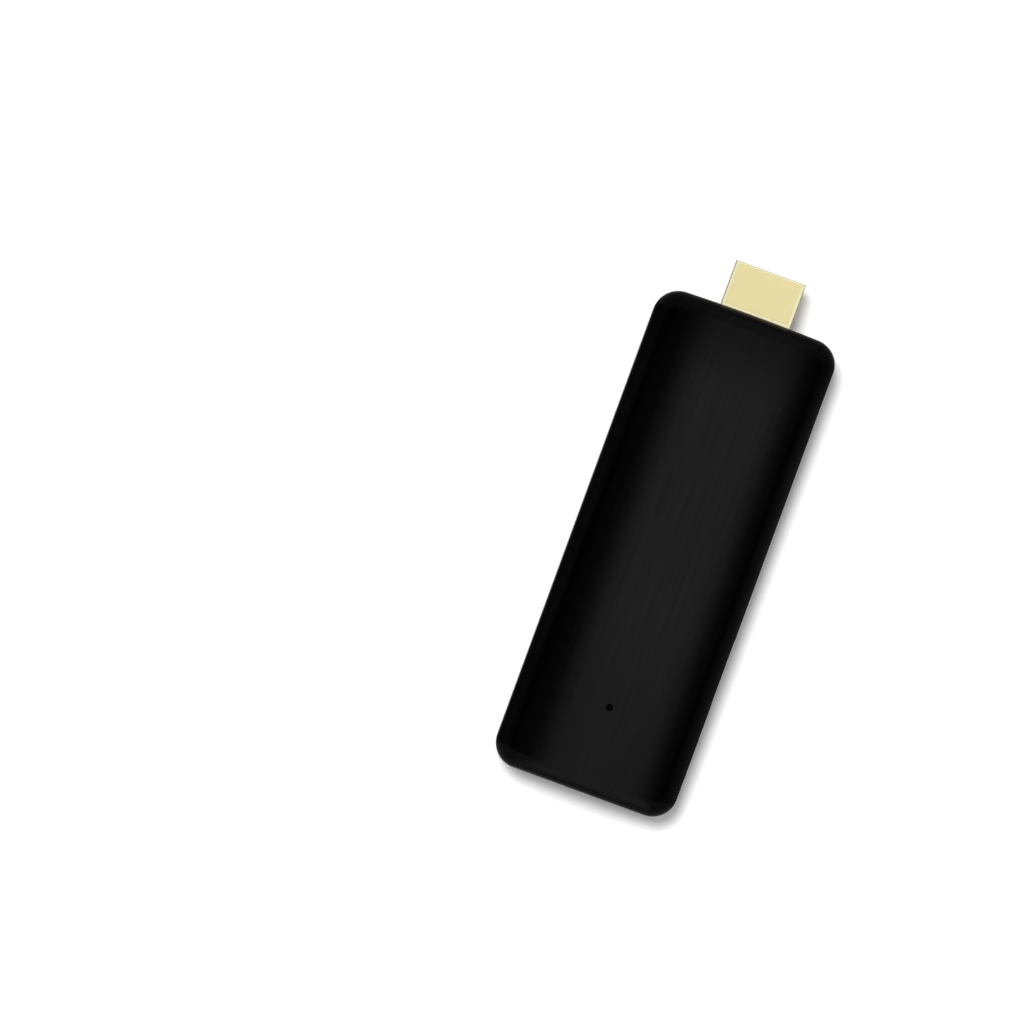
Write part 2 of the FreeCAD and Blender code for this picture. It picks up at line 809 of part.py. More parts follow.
def make_card_spring():
    """The slider's return spring: a round wire wound between the pocket's end and the stop."""
    start_u = slider_start + slider_pocket_start + spring_wire_radius + spring_end_gap
    end_u = card_stop_u - spring_wire_radius - spring_end_gap
    v = (card_lane_v[0] + card_lane_v[1]) / 2
    w = card_base_thickness + slider_lift + spring_radius + spring_wire_radius
    length = end_u - start_u
    helix = Part.makeHelix(length / spring_turns, length, spring_radius)
    section = Part.Wire(
        Part.makeCircle(spring_wire_radius, V(spring_radius, 0, 0), V(0, 1, 0))
    )
    wire = Part.Wire(helix).makePipeShell([section], True, True)
    wire.rotate(V(0, 0, 0), V(0, 1, 0), 90)
    wire.translate(V(card_mouth_x + start_u, card_y + v, board_bottom - w))
    return wire


def reset_box(depth, half_width, half_height):
    """A block of the reset switch. depth runs inwards from the switch's face."""
    return box(
        (reset_face_x + depth[0], reset_face_x + depth[1]),
        (reset_y - half_width, reset_y + half_width),
        (reset_z - half_height, reset_z + half_height),
    )


def make_reset_body():
    """The reset switch's plastic body, hollow behind a narrower mouth."""
    body = reset_box((0, reset_body[0]), reset_body[1] / 2, reset_body[2] / 2)
    mouth = reset_box(
        (-1, reset_front_wall + reset_cavity_length / 2),
        reset_button_half_width + reset_clearance,
        reset_button_half_height + reset_clearance,
    )
    cavity = reset_box(
        (reset_front_wall, reset_front_wall + reset_cavity_length),
        reset_cavity_half_width,
        reset_cavity_half_height,
    )
    return body.cut(mouth).cut(cavity)


def make_reset_button():
    """The reset switch's button: a head through the mouth and a wider shoulder behind it."""
    shoulder_start = reset_front_wall + reset_end_gap
    head = reset_box(
        (-reset_button_out, shoulder_start + reset_shoulder_length),
        reset_button_half_width,
        reset_button_half_height,
    )
    shoulder = reset_box(
        (shoulder_start, shoulder_start + reset_shoulder_length),
        reset_shoulder_half_width,
        reset_cavity_half_height - reset_clearance,
    )
    return head.fuse(shoulder).removeSplitter()


def make_reset_dome():
    """The snap dome: a thin bowed strip between the button's shoulder and the cavity's back."""
    feet_x = reset_face_x + reset_front_wall + reset_cavity_length - reset_end_gap
    half = reset_cavity_half_width - reset_dome_inset
    rise = reset_cavity_length - reset_shoulder_length - 2 * reset_end_gap - reset_clearance
    z = reset_z - reset_cavity_half_height + reset_dome_inset

    def bow(shift):
        ends = [V(feet_x - shift, reset_y + s * half, z) for s in (-1, 1)]
        top = V(feet_x - rise + reset_dome_thickness - shift, reset_y, z)
        return ends, Part.Arc(ends[0], top, ends[1]).toShape()

    (a, b), inner = bow(0)
    (c, d), outer = bow(reset_dome_thickness)
    edges = [inner, Part.LineSegment(b, d).toShape(), outer, Part.LineSegment(c, a).toShape()]
    face = Part.Face(Part.Wire(Part.__sortEdges__(edges)))
    return face.extrude(V(0, 0, 2 * (reset_cavity_half_height - reset_dome_inset)))


def make_reset_frame():
    """The metal frame folded under the reset switch and up its two sides."""
    depth = (reset_front_wall, reset_body[0])
    half_width, half_height = reset_body[1] / 2, reset_body[2] / 2
    outer = reset_box(depth, half_width + reset_frame_thickness, half_height + reset_frame_thickness)
    inner = reset_box((-1, reset_body[0] + 1), half_width, half_height)
    above = box((-side_x, side_x), (tail_y, front_y), (board_bottom - reset_end_gap, case_height))
    return outer.cut(inner).cut(above)


def make_light_pipe():
    """The status light's smoked pipe, flanged under the upper cover."""
    low = board_top + light_chip[2] + light_lens[2] + light_pipe_gap
    radius = light_hole_radius - light_pipe_clearance
    rod = Part.makeCylinder(radius, case_height - light_pipe_recess - low, V(0, light_y, low))
    flange_z = ceiling_z - light_flange_gap - light_flange_thickness
    flange = Part.makeCylinder(light_flange_radius, light_flange_thickness, V(0, light_y, flange_z))
    return rod.fuse(flange).removeSplitter()


def make_status_light():
    """The status light's chip with its clear top."""
    chip = block(light_chip, 0, light_y, board_top)
    lens = block(light_lens, 0, light_y, board_top + light_chip[2])
    return chip.fuse(lens)


def window_parts(grow):
    """The infrared window's plate and flange, larger all round by grow."""
    outside = tail_y - 1 if grow else tail_y + window_recess
    inside = tail_y + wall + window_flange_thickness + grow
    z = centred(window_z, window_height + 2 * grow)
    plate = box(centred(0, window_width + 2 * grow), (outside, inside), z)
    flange = box(
        centred(0, window_width + 2 * window_flange_margin + 2 * grow),
        (tail_y + wall + window_clearance - grow, inside),
        z,
    )
    return plate.fuse(flange).removeSplitter()


def make_receiver():
    """The infrared receiver with its bulging lens towards the window."""
    near = tail_y + receiver_setback
    body = block(receiver, 0, near + receiver[1] / 2, board_top)
    middle = board_top + receiver[2] / 2
    ball = Part.makeSphere(
        receiver_lens_radius, V(0, near + receiver_lens_radius - receiver_lens_out, middle)
    )
    return body.fuse(ball).removeSplitter()


def make_board():
    """The main board: the case's outline drawn in, open where sockets sink in and screws pass."""
    board = plan_prism(wall + board_edge_gap, board_bottom, board_top)
    z = (board_bottom - 1, board_top + 1)
    cuts = [box((-side_x, side_x), (board_front_y, front_y), z)]
    data_reach = (socket_mouth_x - data_depth - data_notch_clearance, side_x)
    cuts.append(box(data_reach, centred(data_y, data_width + 2 * data_notch_clearance), z))
    for sign in (-1, 1):
        edge = plug_offset_x + sign * plug_width / 2
        gap = plug_tab_slot_clearance
        notch_x = (edge + sign * gap, edge - sign * (plug_wall + gap))
        cuts.append(box(notch_x, (plug_rear_y - plug_tab_length - gap, front_y), z))
    for x, y in boss_places:
        hole = screw_radius + board_hole_clearance
        cuts.append(Part.makeCylinder(hole, board_thickness + 2, V(x, y, board_bottom - 1)))
    return board.cut(cuts)


def make_board_screws():
    """Four pan-head screws, each with a cross recess, that hold the board on its bosses."""
    screws = []
    for x, y in boss_places:
        shank = Part.makeCylinder(screw_radius, screw_length, V(x, y, board_top - screw_length))
        head = Part.makeCylinder(screw_head_radius, screw_head_height, V(x, y, board_top))
        rim = [e for e in head.Edges if e.BoundBox.ZMin > board_top + screw_head_height / 2]
        head = head.makeFillet(screw_head_rounding, [e for e in rim if isinstance(e.Curve, Part.Circle)])
        screw = head.fuse(shank).removeSplitter()
        z = (board_top + screw_head_height - screw_recess_depth, board_top + screw_head_height + 1)
        long, short = screw_recess_length, screw_recess_width
        for size in ((long, short), (short, long)):
            screw = screw.cut(box(centred(x, size[0]), centred(y, size[1]), z))
        screws.append(screw)
    return Part.makeCompound(screws)


def make_heat_spreader():
    """The aluminium plate over the processor and the memory."""
    reach = memory[1] / 2 + spreader_end_margin
    length = memory_y[0] - memory_y[1] + 2 * reach
    size = (spreader_width, length, spreader_thickness)
    return rounded_slab(size, 0, sum(memory_y) / 2, spreader_bottom, spreader_corner_radius)


def make_thermal_pads():
    """Soft pads between the chips and the heat spreader."""
    chips = [(processor, processor_y)] + [(memory, y) for y in memory_y]
    pads = []
    for size, y in chips:
        height = spreader_bottom - board_top - size[2]
        pad = (size[0] - 2 * pad_inset, size[1] - 2 * pad_inset, height)
        pads.append(block(pad, 0, y, board_top + size[2]))
    return Part.makeCompound(pads)


def make_inductors():
    """Three power inductors with cut corners under the board."""
    y = board_front_y - inductor_from_board_front
    made = []
    for step in (-1, 0, 1):
        body = hung(inductor, step * inductor_pitch, y, board_bottom)
        upright = [e for e in body.Edges if abs(e.Vertexes[0].Z - e.Vertexes[-1].Z) > 1e-6]
        made.append(body.makeChamfer(inductor_chamfer, upright))
    return Part.makeCompound(made)


def make_regulators():
    """Three small voltage regulators along the board's right edge."""
    x = board_half_width - edge_part_margin - regulator[0] / 2
    return Part.makeCompound([block(regulator, x, board_front_y - s, board_top) for s in regulator_steps])


def make_capacitors():
    """Two rows of small capacitors beside the heat spreader."""
    made = []
    for sign in (-1, 1):
        for i in range(capacitor_count):
            y = board_front_y - capacitor_start - i * capacitor_pitch
            x = spreader_width / 2 + capacitor_gap + capacitor[0] / 2
            made.append(block(capacitor, sign * x, y, board_top))
    return Part.makeCompound(made)


wifi_x = -board_half_width + edge_part_margin + wifi_board[0] / 2 - wifi_outset
wifi_top = board_top + wifi_board[2]


def make_wifi_shield():
    """The radio module's folded metal can."""
    size = (wifi_board[0] - 2 * wifi_can_margin, wifi_board[1] - 2 * wifi_can_margin, wifi_can_height)
    can = block(size, wifi_x, data_y, wifi_top)
    return can.cut(block([side - t for side, t in zip(size, wifi_can_walls)], wifi_x, data_y, wifi_top))


def socket_cutters():
    """The space that each socket, plug or slot takes through the case's walls, with clearance."""
    gap = socket_cut_clearance
    data = data_place(data_prism(gap, -data_depth - gap, side_x))
    data_ears = data_place(
        box(
            (-data_depth, gap - data_ear_from_mouth),
            centred(0, data_width + 2 * data_ear[1] + 2 * gap),
            (board_thickness / 2, board_thickness / 2 + data_ear[2] + gap),
        )
    )
    power = power_place(power_prism(gap, -power_depth - gap, side_x))
    power_feet = power_place(
        box(
            (-power_depth - gap, gap - power_ear_from_ends[0]),
            centred(0, power_width + 2 * power_ear[1] + 2 * gap),
            (-gap, power_ear[2] + gap),
        )
    )
    plug = plug_prism(plug_opening_clearance, plug_shoulder_y, plug_tip_y)
    return [data, data_ears, power, power_feet, plug]


def rim_cutters():
    """The same spaces carried up or down to the seam, so that the covers close over them."""
    gap = socket_cut_clearance
    side = (side_x - rim_cut_depth, side_x + 1)
    z = (plug_z, seam_z + cut_overlap)
    data_low = box(side, centred(data_y, data_width + 2 * gap), z)
    plug_x = centred(plug_offset_x, plug_width + 2 * plug_opening_clearance)
    plug_low = box(plug_x, (plug_shoulder_y, front_y + 1), z)
    return [data_low, plug_low]


def snaps(grow):
    """The small ridges on the lip that click into the lower cover, larger by grow."""
    face = wall - lip_thickness
    z = centred(seam_z - snap_below_seam, snap_height + 2 * grow)
    length = snap_length + 2 * grow
    made = []
    for sign in (-1, 1):
        x = (sign * (side_x - face + snap_depth + grow), sign * (side_x - face - snap_root))
        for step in side_snaps_from_front:
            made.append(box(x, centred(front_y - step, length), z))
        y = (tail_y + face - snap_depth - grow, tail_y + face + snap_root)
        made.append(box(centred(sign * tail_snap_x, length), y, z))
    return made


def make_top_cover():
    """The upper cover: a crowned shell with a lip, hold-down ribs and openings for the sockets."""
    shell = crowned_block(0, seam_z).cut(crowned_block(wall, seam_z - 1))
    lip_out = wall - lip_thickness
    lip = plan_prism(lip_out, seam_z - lip_height, seam_z + cut_overlap).cut(
        plan_prism(wall, seam_z - lip_height - 1, seam_z + 1)
    )
    inside = crowned_block(wall / 2, seam_z)
    ribs = []
    for y in (memory_y[0], memory_y[1]):
        post = box(
            centred(0, hold_down_length),
            centred(y, hold_down_thickness),
            (spreader_top + hold_down_gap, case_height),
        )
        ribs.append(post.common(inside))
    for rib in plug_ribs(seam_z, case_height):
        ribs.append(rib.common(inside))
    cover = shell.fuse([lip] + snaps(0) + ribs).removeSplitter()
    light = Part.makeCylinder(light_hole_radius, case_height, V(0, light_y, board_top))
    reset_half_width = reset_body[1] / 2 + reset_lip_margin[0]
    reset_half_height = reset_body[2] / 2 + reset_lip_margin[1]
    reset_side = reset_box((-side_x, reset_body[0]), reset_half_width, reset_half_height)
    cuts = socket_cutters() + rim_cutters() + [light, window_parts(window_clearance), reset_side]
    power_low = box(
        (side_x - rim_cut_depth, side_x + 1),
        centred(power_y, power_width + 2 * socket_cut_clearance),
        (seam_z - lip_height - lip_clearance, seam_z + power_height / 2),
    )
    return cover.cut(cuts + [power_low]).removeSplitter()


def vent_slots():
    """Round-ended slots through the floor, in two columns."""
    made = []
    for column in vent_columns:
        for i in range(vent_count):
            y = tail_y + vents_from_tail + i * vent_pitch
            size = (vent_length, vent_width, 3 * wall)
            made.append(rounded_slab(size, column, y, -wall, vent_width / 2 - cut_overlap))
    return made


def card_scoop():
    """A long shallow dish with round ends, where a finger pushes the card in."""
    middle = V(
        -side_x - card_finger_radius + card_finger_depth,
        card_y + (card_low_v + card_lane_v[0]) / 2,
        board_bottom - (card_base_thickness + card_roof) / 2,
    )
    ends = [middle + V(0, step, 0) for step in centred(0, card_finger_length)]
    bar = Part.makeCylinder(card_finger_radius, card_finger_length, ends[0], V(0, 1, 0))
    balls = [Part.makeSphere(card_finger_radius, end) for end in ends]
    return bar.fuse(balls).removeSplitter()


def make_bottom_cover():
    """The lower cover: a tray with screw bosses, plug ribs, vents, label recess and side openings."""
    tray = tray_block(0, seam_z).cut(tray_block(wall, seam_z + 1))
    rebate = plan_prism(
        wall - lip_thickness - lip_clearance, seam_z - lip_height - lip_clearance, seam_z + 1
    )
    tray = tray.cut(rebate)
    bosses = [
        Part.makeCylinder(boss_radius, board_bottom - wall / 2, V(x, y, wall / 2))
        for x, y in boss_places
    ]
    ribs = plug_ribs(wall / 2, board_bottom - plug_rib_board_gap)
    cover = tray.fuse(bosses + ribs).removeSplitter()
    pilot_radius = screw_radius + pilot_clearance
    pilots = [
        Part.makeCylinder(pilot_radius, pilot_depth + 1, V(x, y, board_bottom - pilot_depth))
        for x, y in boss_places
    ]
    recess = (label_size[0], label_size[1], label_recess + 1)
    label = rounded_slab(recess, 0, front_y - label_from_front, -1, label_corner_radius)
    gap = card_slot_clearance
    slot = card_box(
        (-side_x, card_mouth_gap),
        (card_low_v - gap, card_lane_v[0] + gap),
        (card_base_thickness - gap, card_roof + gap),
    )
    pinhole = Part.makeCylinder(
        reset_pinhole_radius, 2 * wall, V(-side_x - wall / 2, reset_y, reset_z), V(1, 0, 0)
    )
    power_rim = box(
        (side_x - rim_cut_depth, side_x + 1),
        centred(power_y, power_width + 2 * socket_cut_clearance),
        (seam_z - socket_cut_clearance, seam_z + 1),
    )
    cuts = socket_cutters() + rim_cutters() + pilots + vent_slots() + snaps(snap_clearance)
    cuts += [label, slot, card_scoop(), pinhole, power_rim]
    return cover.cut(cuts).removeSplitter()


def make_label():
    """The blank label in its recess under the case."""
    size = (label_size[0] - 2 * label_edge_gap, label_size[1] - 2 * label_edge_gap, label_thickness)
    bottom = label_recess - label_thickness
    radius = label_corner_radius - label_edge_gap
    return rounded_slab(size, 0, front_y - label_from_front, bottom, radius)


def make_all():
    """Every node's name with its shape."""
    plug_contacts = make_plug_contacts()
    data_contacts = make_data_contacts()
    power_pins = make_power_contacts()
    card_pads = make_card_contacts()
    card_pin = make_card_pin()
    crystal_x = -board_half_width + edge_part_margin + crystal[0] / 2
    antenna_x = -board_half_width + edge_part_margin + antenna[0] / 2
    return {
        "top_cover": make_top_cover(),
        "bottom_cover": make_bottom_cover(),
        "underside_label": make_label(),
        "main_board": make_board(),
        "board_screws": make_board_screws(),
        "hdmi_plug_shell": make_plug_shell(),
        "hdmi_plug_insulator": make_plug_insulator(plug_contacts),
        "hdmi_plug_contacts": plug_contacts,
        "hdmi_plug_housing": make_plug_housing(),
        "usb_socket_shell": make_data_shell(data_contacts),
        "usb_socket_tongue": make_data_tongue(data_contacts),
        "usb_socket_contacts": data_contacts,
        "power_socket_shell": make_power_shell(),
        "power_socket_tongue": make_power_tongue(power_pins),
        "power_socket_contacts": power_pins,
        "card_socket_base": make_card_base(card_pads, card_pin),
        "card_socket_cover": make_card_cover(),
        "card_socket_contacts": card_pads,
        "card_slider": make_card_slider(),
        "card_slider_spring": make_card_spring(),
        "card_latch_pin": card_pin,
        "reset_switch_body": make_reset_body(),
        "reset_switch_button": make_reset_button(),
        "reset_switch_dome": make_reset_dome(),
        "reset_switch_frame": make_reset_frame(),
        "status_light": make_status_light(),
        "status_light_pipe": make_light_pipe(),
        "infrared_window": window_parts(0),
        "infrared_receiver": make_receiver(),
        "processor": block(processor, 0, processor_y, board_top),
        "memory_chips": Part.makeCompound([block(memory, 0, y, board_top) for y in memory_y]),
        "flash_chip": hung(flash, 0, board_front_y - flash_from_board_front, board_bottom),
        "thermal_pads": make_thermal_pads(),
        "heat_spreader": make_heat_spreader(),
        "clock_crystal": block(crystal, crystal_x, processor_y, board_top),
        "power_inductors": make_inductors(),
        "voltage_regulators": make_regulators(),
        "capacitors": make_capacitors(),
        "wifi_module": block(wifi_board, wifi_x, data_y, board_top),
        "wifi_shield_can": make_wifi_shield(),
        "wifi_antenna": block(antenna, antenna_x, tail_y + antenna_from_tail, board_top),
    }


def main():
    """Writes one file per node."""
    os.makedirs("parts", exist_ok=True)
    for name, shape in make_all().items():
        shape.exportStep(f"parts/{name}.step")
        print(name, len(shape.Solids), shape.isValid(), round(shape.Volume, 3))


main()
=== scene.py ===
"""Looks of a plug-in streaming stick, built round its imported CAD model.

Sizes are in millimetres in the model's own frame: the origin is in the middle of the case's
underside, +Z points out of the crowned face and +Y along the video plug. Meshes are in metres.
"""

import logging
import math
from dataclasses import dataclass
from enum import Enum
from functools import cache, reduce
from typing import Any, Callable, Mapping, Sequence

import bmesh
import bpy
import numpy as np
from numpy.typing import NDArray
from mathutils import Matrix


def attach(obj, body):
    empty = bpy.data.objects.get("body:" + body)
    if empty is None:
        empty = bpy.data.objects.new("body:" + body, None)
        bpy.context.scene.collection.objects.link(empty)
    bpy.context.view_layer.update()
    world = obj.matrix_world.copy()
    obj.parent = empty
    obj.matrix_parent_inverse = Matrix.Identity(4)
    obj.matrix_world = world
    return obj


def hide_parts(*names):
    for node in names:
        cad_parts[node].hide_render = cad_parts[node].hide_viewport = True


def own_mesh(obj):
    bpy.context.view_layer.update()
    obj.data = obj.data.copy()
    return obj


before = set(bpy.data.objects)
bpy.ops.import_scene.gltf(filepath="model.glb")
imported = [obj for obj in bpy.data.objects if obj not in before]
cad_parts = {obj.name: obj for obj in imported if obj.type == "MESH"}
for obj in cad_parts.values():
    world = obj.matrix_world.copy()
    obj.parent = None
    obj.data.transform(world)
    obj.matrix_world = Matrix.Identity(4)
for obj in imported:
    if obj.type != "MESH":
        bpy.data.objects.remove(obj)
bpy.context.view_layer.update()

log = logging.getLogger("stick")

Array = NDArray[np.float64]
Colour = tuple[float, float, float]
Pair = tuple[float, float]
Triple = tuple[float, float, float]
Piece = bpy.types.Object
Solids = list[Piece]

MM = 0.001
RIGHT_ANGLE = math.pi / 2
SHARP_ANGLE = math.radians(32)
WELD_DISTANCE = 1e-6
BODY = "stick"
SIDES = (-1, 1)
PAST = 1.0  # how far a cutter reaches past what it cuts
EVEN: Triple = (1.0, 1.0, 1.0)


class Axis(Enum):
    """The direction a section is carried along, with the axes that its first and second number take."""

    X = (1, 2, 0)
    Y = (0, 2, 1)
    Z = (0, 1, 2)


class Cut(Enum):
    """What a Boolean does with the other solid."""

    REMOVE = "DIFFERENCE"
    ADD = "UNION"


class Ends(Enum):
    """What closes a skin at its first and its last row."""

    CAPPED = "a flat face on each"
    JOINED = "each other"
    FOLDED = "each folds flat on itself"


class Cover(Enum):
    """The case's two covers, each with its side of the seam."""

    UPPER = 1
    LOWER = -1


@dataclass(frozen=True)
class Stick:
    """The sizes that several pieces share."""

    side: float = 18.0
    front: float = 47.65
    top: float = 12.6
    wall: float = 1.5
    seam: float = 6.4
    plug_middle: float = 0.5
    plug_rear: float = 41.3
    plug_tip: float = 56.45
    light_y: float = -30.75
    window_z: float = 7.8
    label_centre: Pair = (0.0, 21.65)


STICK = Stick()


# Shader building


def maths(operation: str, swapped: bool = False) -> Callable[..., "Shade"]:
    """A method of Shade that adds a Math node.

    Args:
        operation: the node's operation.
        swapped: whether the shade comes last, as in a reflected form.

    Returns:
        The method.
    """

    def method(self: "Shade", *others: "Shade | float") -> "Shade":
        """Adds the node."""
        values = (*others, self) if swapped else (self, *others)
        return self.bench.add("ShaderNodeMath", {"operation": operation}, dict(enumerate(values)))

    return method


class Shade:
    """A shader socket on which the usual operators work as they do on numbers."""

    def __init__(self, bench: "Bench", socket: bpy.types.NodeSocket | None) -> None:
        """Keeps the socket with the bench whose nodes it belongs to."""
        self.bench = bench
        self.socket = socket

    __add__, __radd__ = maths("ADD"), maths("ADD", swapped=True)
    __sub__, __rsub__ = maths("SUBTRACT"), maths("SUBTRACT", swapped=True)
    __mul__, __rmul__ = maths("MULTIPLY"), maths("MULTIPLY", swapped=True)
    __truediv__, __rtruediv__ = maths("DIVIDE"), maths("DIVIDE", swapped=True)
    __lt__, __gt__ = maths("LESS_THAN"), maths("GREATER_THAN")
    __pow__, __abs__ = maths("POWER"), maths("ABSOLUTE")
    larger, fraction, whole = maths("MAXIMUM"), maths("FRACT"), maths("FLOOR")

    def ramp(self, low: float, high: float) -> "Shade":
        """A smooth step from 0 at low to 1 at high. low may be the larger one."""
        inputs = {"Value": self, "From Min": low, "From Max": high}
        return self.bench.add("ShaderNodeMapRange", {"interpolation_type": "SMOOTHSTEP"}, inputs)


class Bench:
    """The nodes of one material, world or modifier."""

    def __init__(self, tree: bpy.types.NodeTree) -> None:
        """Starts from an empty tree."""
        self.tree = tree
        tree.nodes.clear()

    def add(
        self,
        kind: str,
        settings: Mapping[str, Any] | None = None,
        inputs: Mapping[Any, Any] | None = None,
        output: int | str = 0,
    ) -> Shade:
        """Adds any node.

        Args:
            kind: the node's type.
            settings: its properties, set first.
            inputs: numbers, colours or shades by the name or index of a socket.
            output: the output that is wanted.

        Returns:
            That output, or an empty shade for a node without outputs.
        """
        node = self.tree.nodes.new(kind)
        for name, value in (settings or {}).items():
            setattr(node, name, value)
        for key, value in (inputs or {}).items():
            if isinstance(value, Shade):
                self.tree.links.new(value.socket, node.inputs[key])
            else:
                node.inputs[key].default_value = value
        return Shade(self, node.outputs[output] if len(node.outputs) else None)

    def place(self, stretch: Triple = EVEN) -> Shade:
        """The object's own coordinates in millimetres, each times its stretch."""
        own = self.add("ShaderNodeTexCoord", output="Object")
        return self.add("ShaderNodeMapping", inputs={"Vector": own, "Scale": [s / MM for s in stretch]})

    def split(self, vector: Shade | None = None) -> tuple[Shade, Shade, Shade]:
        """The x, y and z of a vector, or else of the object's coordinates in millimetres."""
        first = self.add("ShaderNodeSeparateXYZ", inputs={0: vector or self.place()})
        return tuple(Shade(self, out) for out in first.socket.node.outputs)

    def noise(self, vector: Shade, size: float, detail: float = 3.0, rough: float = 0.5) -> Shade:
        """Cloudy noise between 0 and 1, its largest spots as wide as size and its finer ones rough strong."""
        inputs = {"Vector": vector, "Scale": 1.0 / size, "Detail": detail, "Roughness": rough}
        return self.add("ShaderNodeTexNoise", inputs=inputs)

    def blend(self, factor: Shade | float, *colours: Any) -> Shade:
        """A colour between two colours or colour shades."""
        first, second = (c if isinstance(c, Shade) else (*c, 1.0) for c in colours)
        return self.add("ShaderNodeMix", {"data_type": "RGBA"}, {0: factor, 6: first, 7: second}, output=2)

    def bump(self, height: Shade, depth: float) -> Shade:
        """A normal for a height between 0 and 1 that stands for a depth in millimetres."""
        return self.add("ShaderNodeBump", inputs={"Height": height, "Distance": depth * MM})


def times(colour: Colour, by: float) -> Colour:
    """A colour made lighter or darker."""
    return tuple(by * c for c in colour)


@dataclass(frozen=True)
class Finish:
    """A surface finish. Each kind says what it feeds to the surface shader."""

    name: str

    def paint(self, bench: Bench) -> dict[str, Any]:
        """The surface shader's inputs by name."""
        raise NotImplementedError

    @cache
    def material(self) -> bpy.types.Material:
        """The finish as a material, made the first time it is wanted.

        Returns:
            The material.
        """
        material = bpy.data.materials.new(self.name)
        material.use_nodes = True
        bench = Bench(material.node_tree)
        surface = bench.add("ShaderNodeBsdfPrincipled", inputs=self.paint(bench))
        bench.add("ShaderNodeOutputMaterial", inputs={"Surface": surface})
        return material


@dataclass(frozen=True)
class Grain:
    """A layer of noise: its size and make, and its share in the colour, the roughness and the height."""

    size: float
    detail: float = 3.0
    rough: float = 0.5
    tint: float = 1.0
    sway: float = 0.1
    height: float = 1.0
    stretch: Triple = EVEN


@dataclass(frozen=True)
class Grained(Finish):
    """A material whose colour, roughness and height follow one or two layers of noise."""

    colour: Colour
    roughness: float
    depth: float
    grains: tuple[Grain, ...]
    low: float = 0.8
    high: float = 1.0
    specular: float = 0.5
    metallic: float = 0.0
    shine: float = 0.0
    shiny: Pair = (0.6, 0.75)

    def paint(self, bench: Bench) -> dict[str, Any]:
        """Shades the colour from low to high times itself, sways the roughness and lifts the surface.

        With a shine, the first layer's brightest spots are smoother.

        Args:
            bench: the material's bench.

        Returns:
            The surface shader's inputs by name.
        """
        layers = [(g, bench.noise(bench.place(g.stretch), g.size, g.detail, g.rough)) for g in self.grains]
        tint = sum(g.tint * noise for g, noise in layers)
        made = {
            "Base Color": bench.blend(tint, times(self.colour, self.low), times(self.colour, self.high)),
            "Roughness": self.roughness + sum(g.sway * (noise - 0.5) for g, noise in layers),
            "Specular IOR Level": self.specular,
            "Metallic": self.metallic,
        }
        if self.depth:
            made["Normal"] = bench.bump(sum(g.height * noise for g, noise in layers), self.depth)
        if self.shine:
            made["Roughness"] = made["Roughness"] - self.shine * layers[0][1].ramp(*self.shiny)
        return made


def moulded(
    name: str, colour: Colour, roughness: float, size: float, depth: float, specular: float = 0.5
) -> Grained:
    """Moulded plastic with a fine eroded grain, of a spot size and a depth, over clouds 30 times as wide."""
    spots, clouds = Grain(size, rough=0.65, tint=0.6, sway=0.12), Grain(30 * size, 2.0, tint=0.4, height=0.0)
    return Grained(name, colour, roughness, depth, (spots, clouds), high=1.2, specular=specular)


def rolled(stretch: Triple, size: float = 0.25, share: float = 0.5) -> tuple[Grain, ...]:
    """The fine lines of rolled sheet metal, with their share in the colour, over faint clouds."""
    lines = Grain(size, detail=4.0, rough=0.6, tint=share, stretch=stretch)
    return (lines, Grain(2.5, tint=1 - share, sway=0.08, height=0.0))


def sheet(name: str, colour: Colour, roughness: float, stretch: Triple = EVEN, size: float = 0.25) -> Grained:
    """Plated sheet metal, a little darker in its lines and its faint clouds."""
    lines = rolled(stretch, size)
    return Grained(name, colour, roughness, depth=0.0008, grains=lines, low=0.86, metallic=0.85)


def clear_resin(name: str, colour: Colour, roughness: float, specular: float = 0.5) -> Grained:
    """Tinted clear resin with faint flow marks."""
    flow = Grain(1.5, detail=2.0, sway=0.05, stretch=(1.0, 1.0, 0.3))
    return Grained(name, colour, roughness, depth=0.003, grains=(flow,), specular=specular)


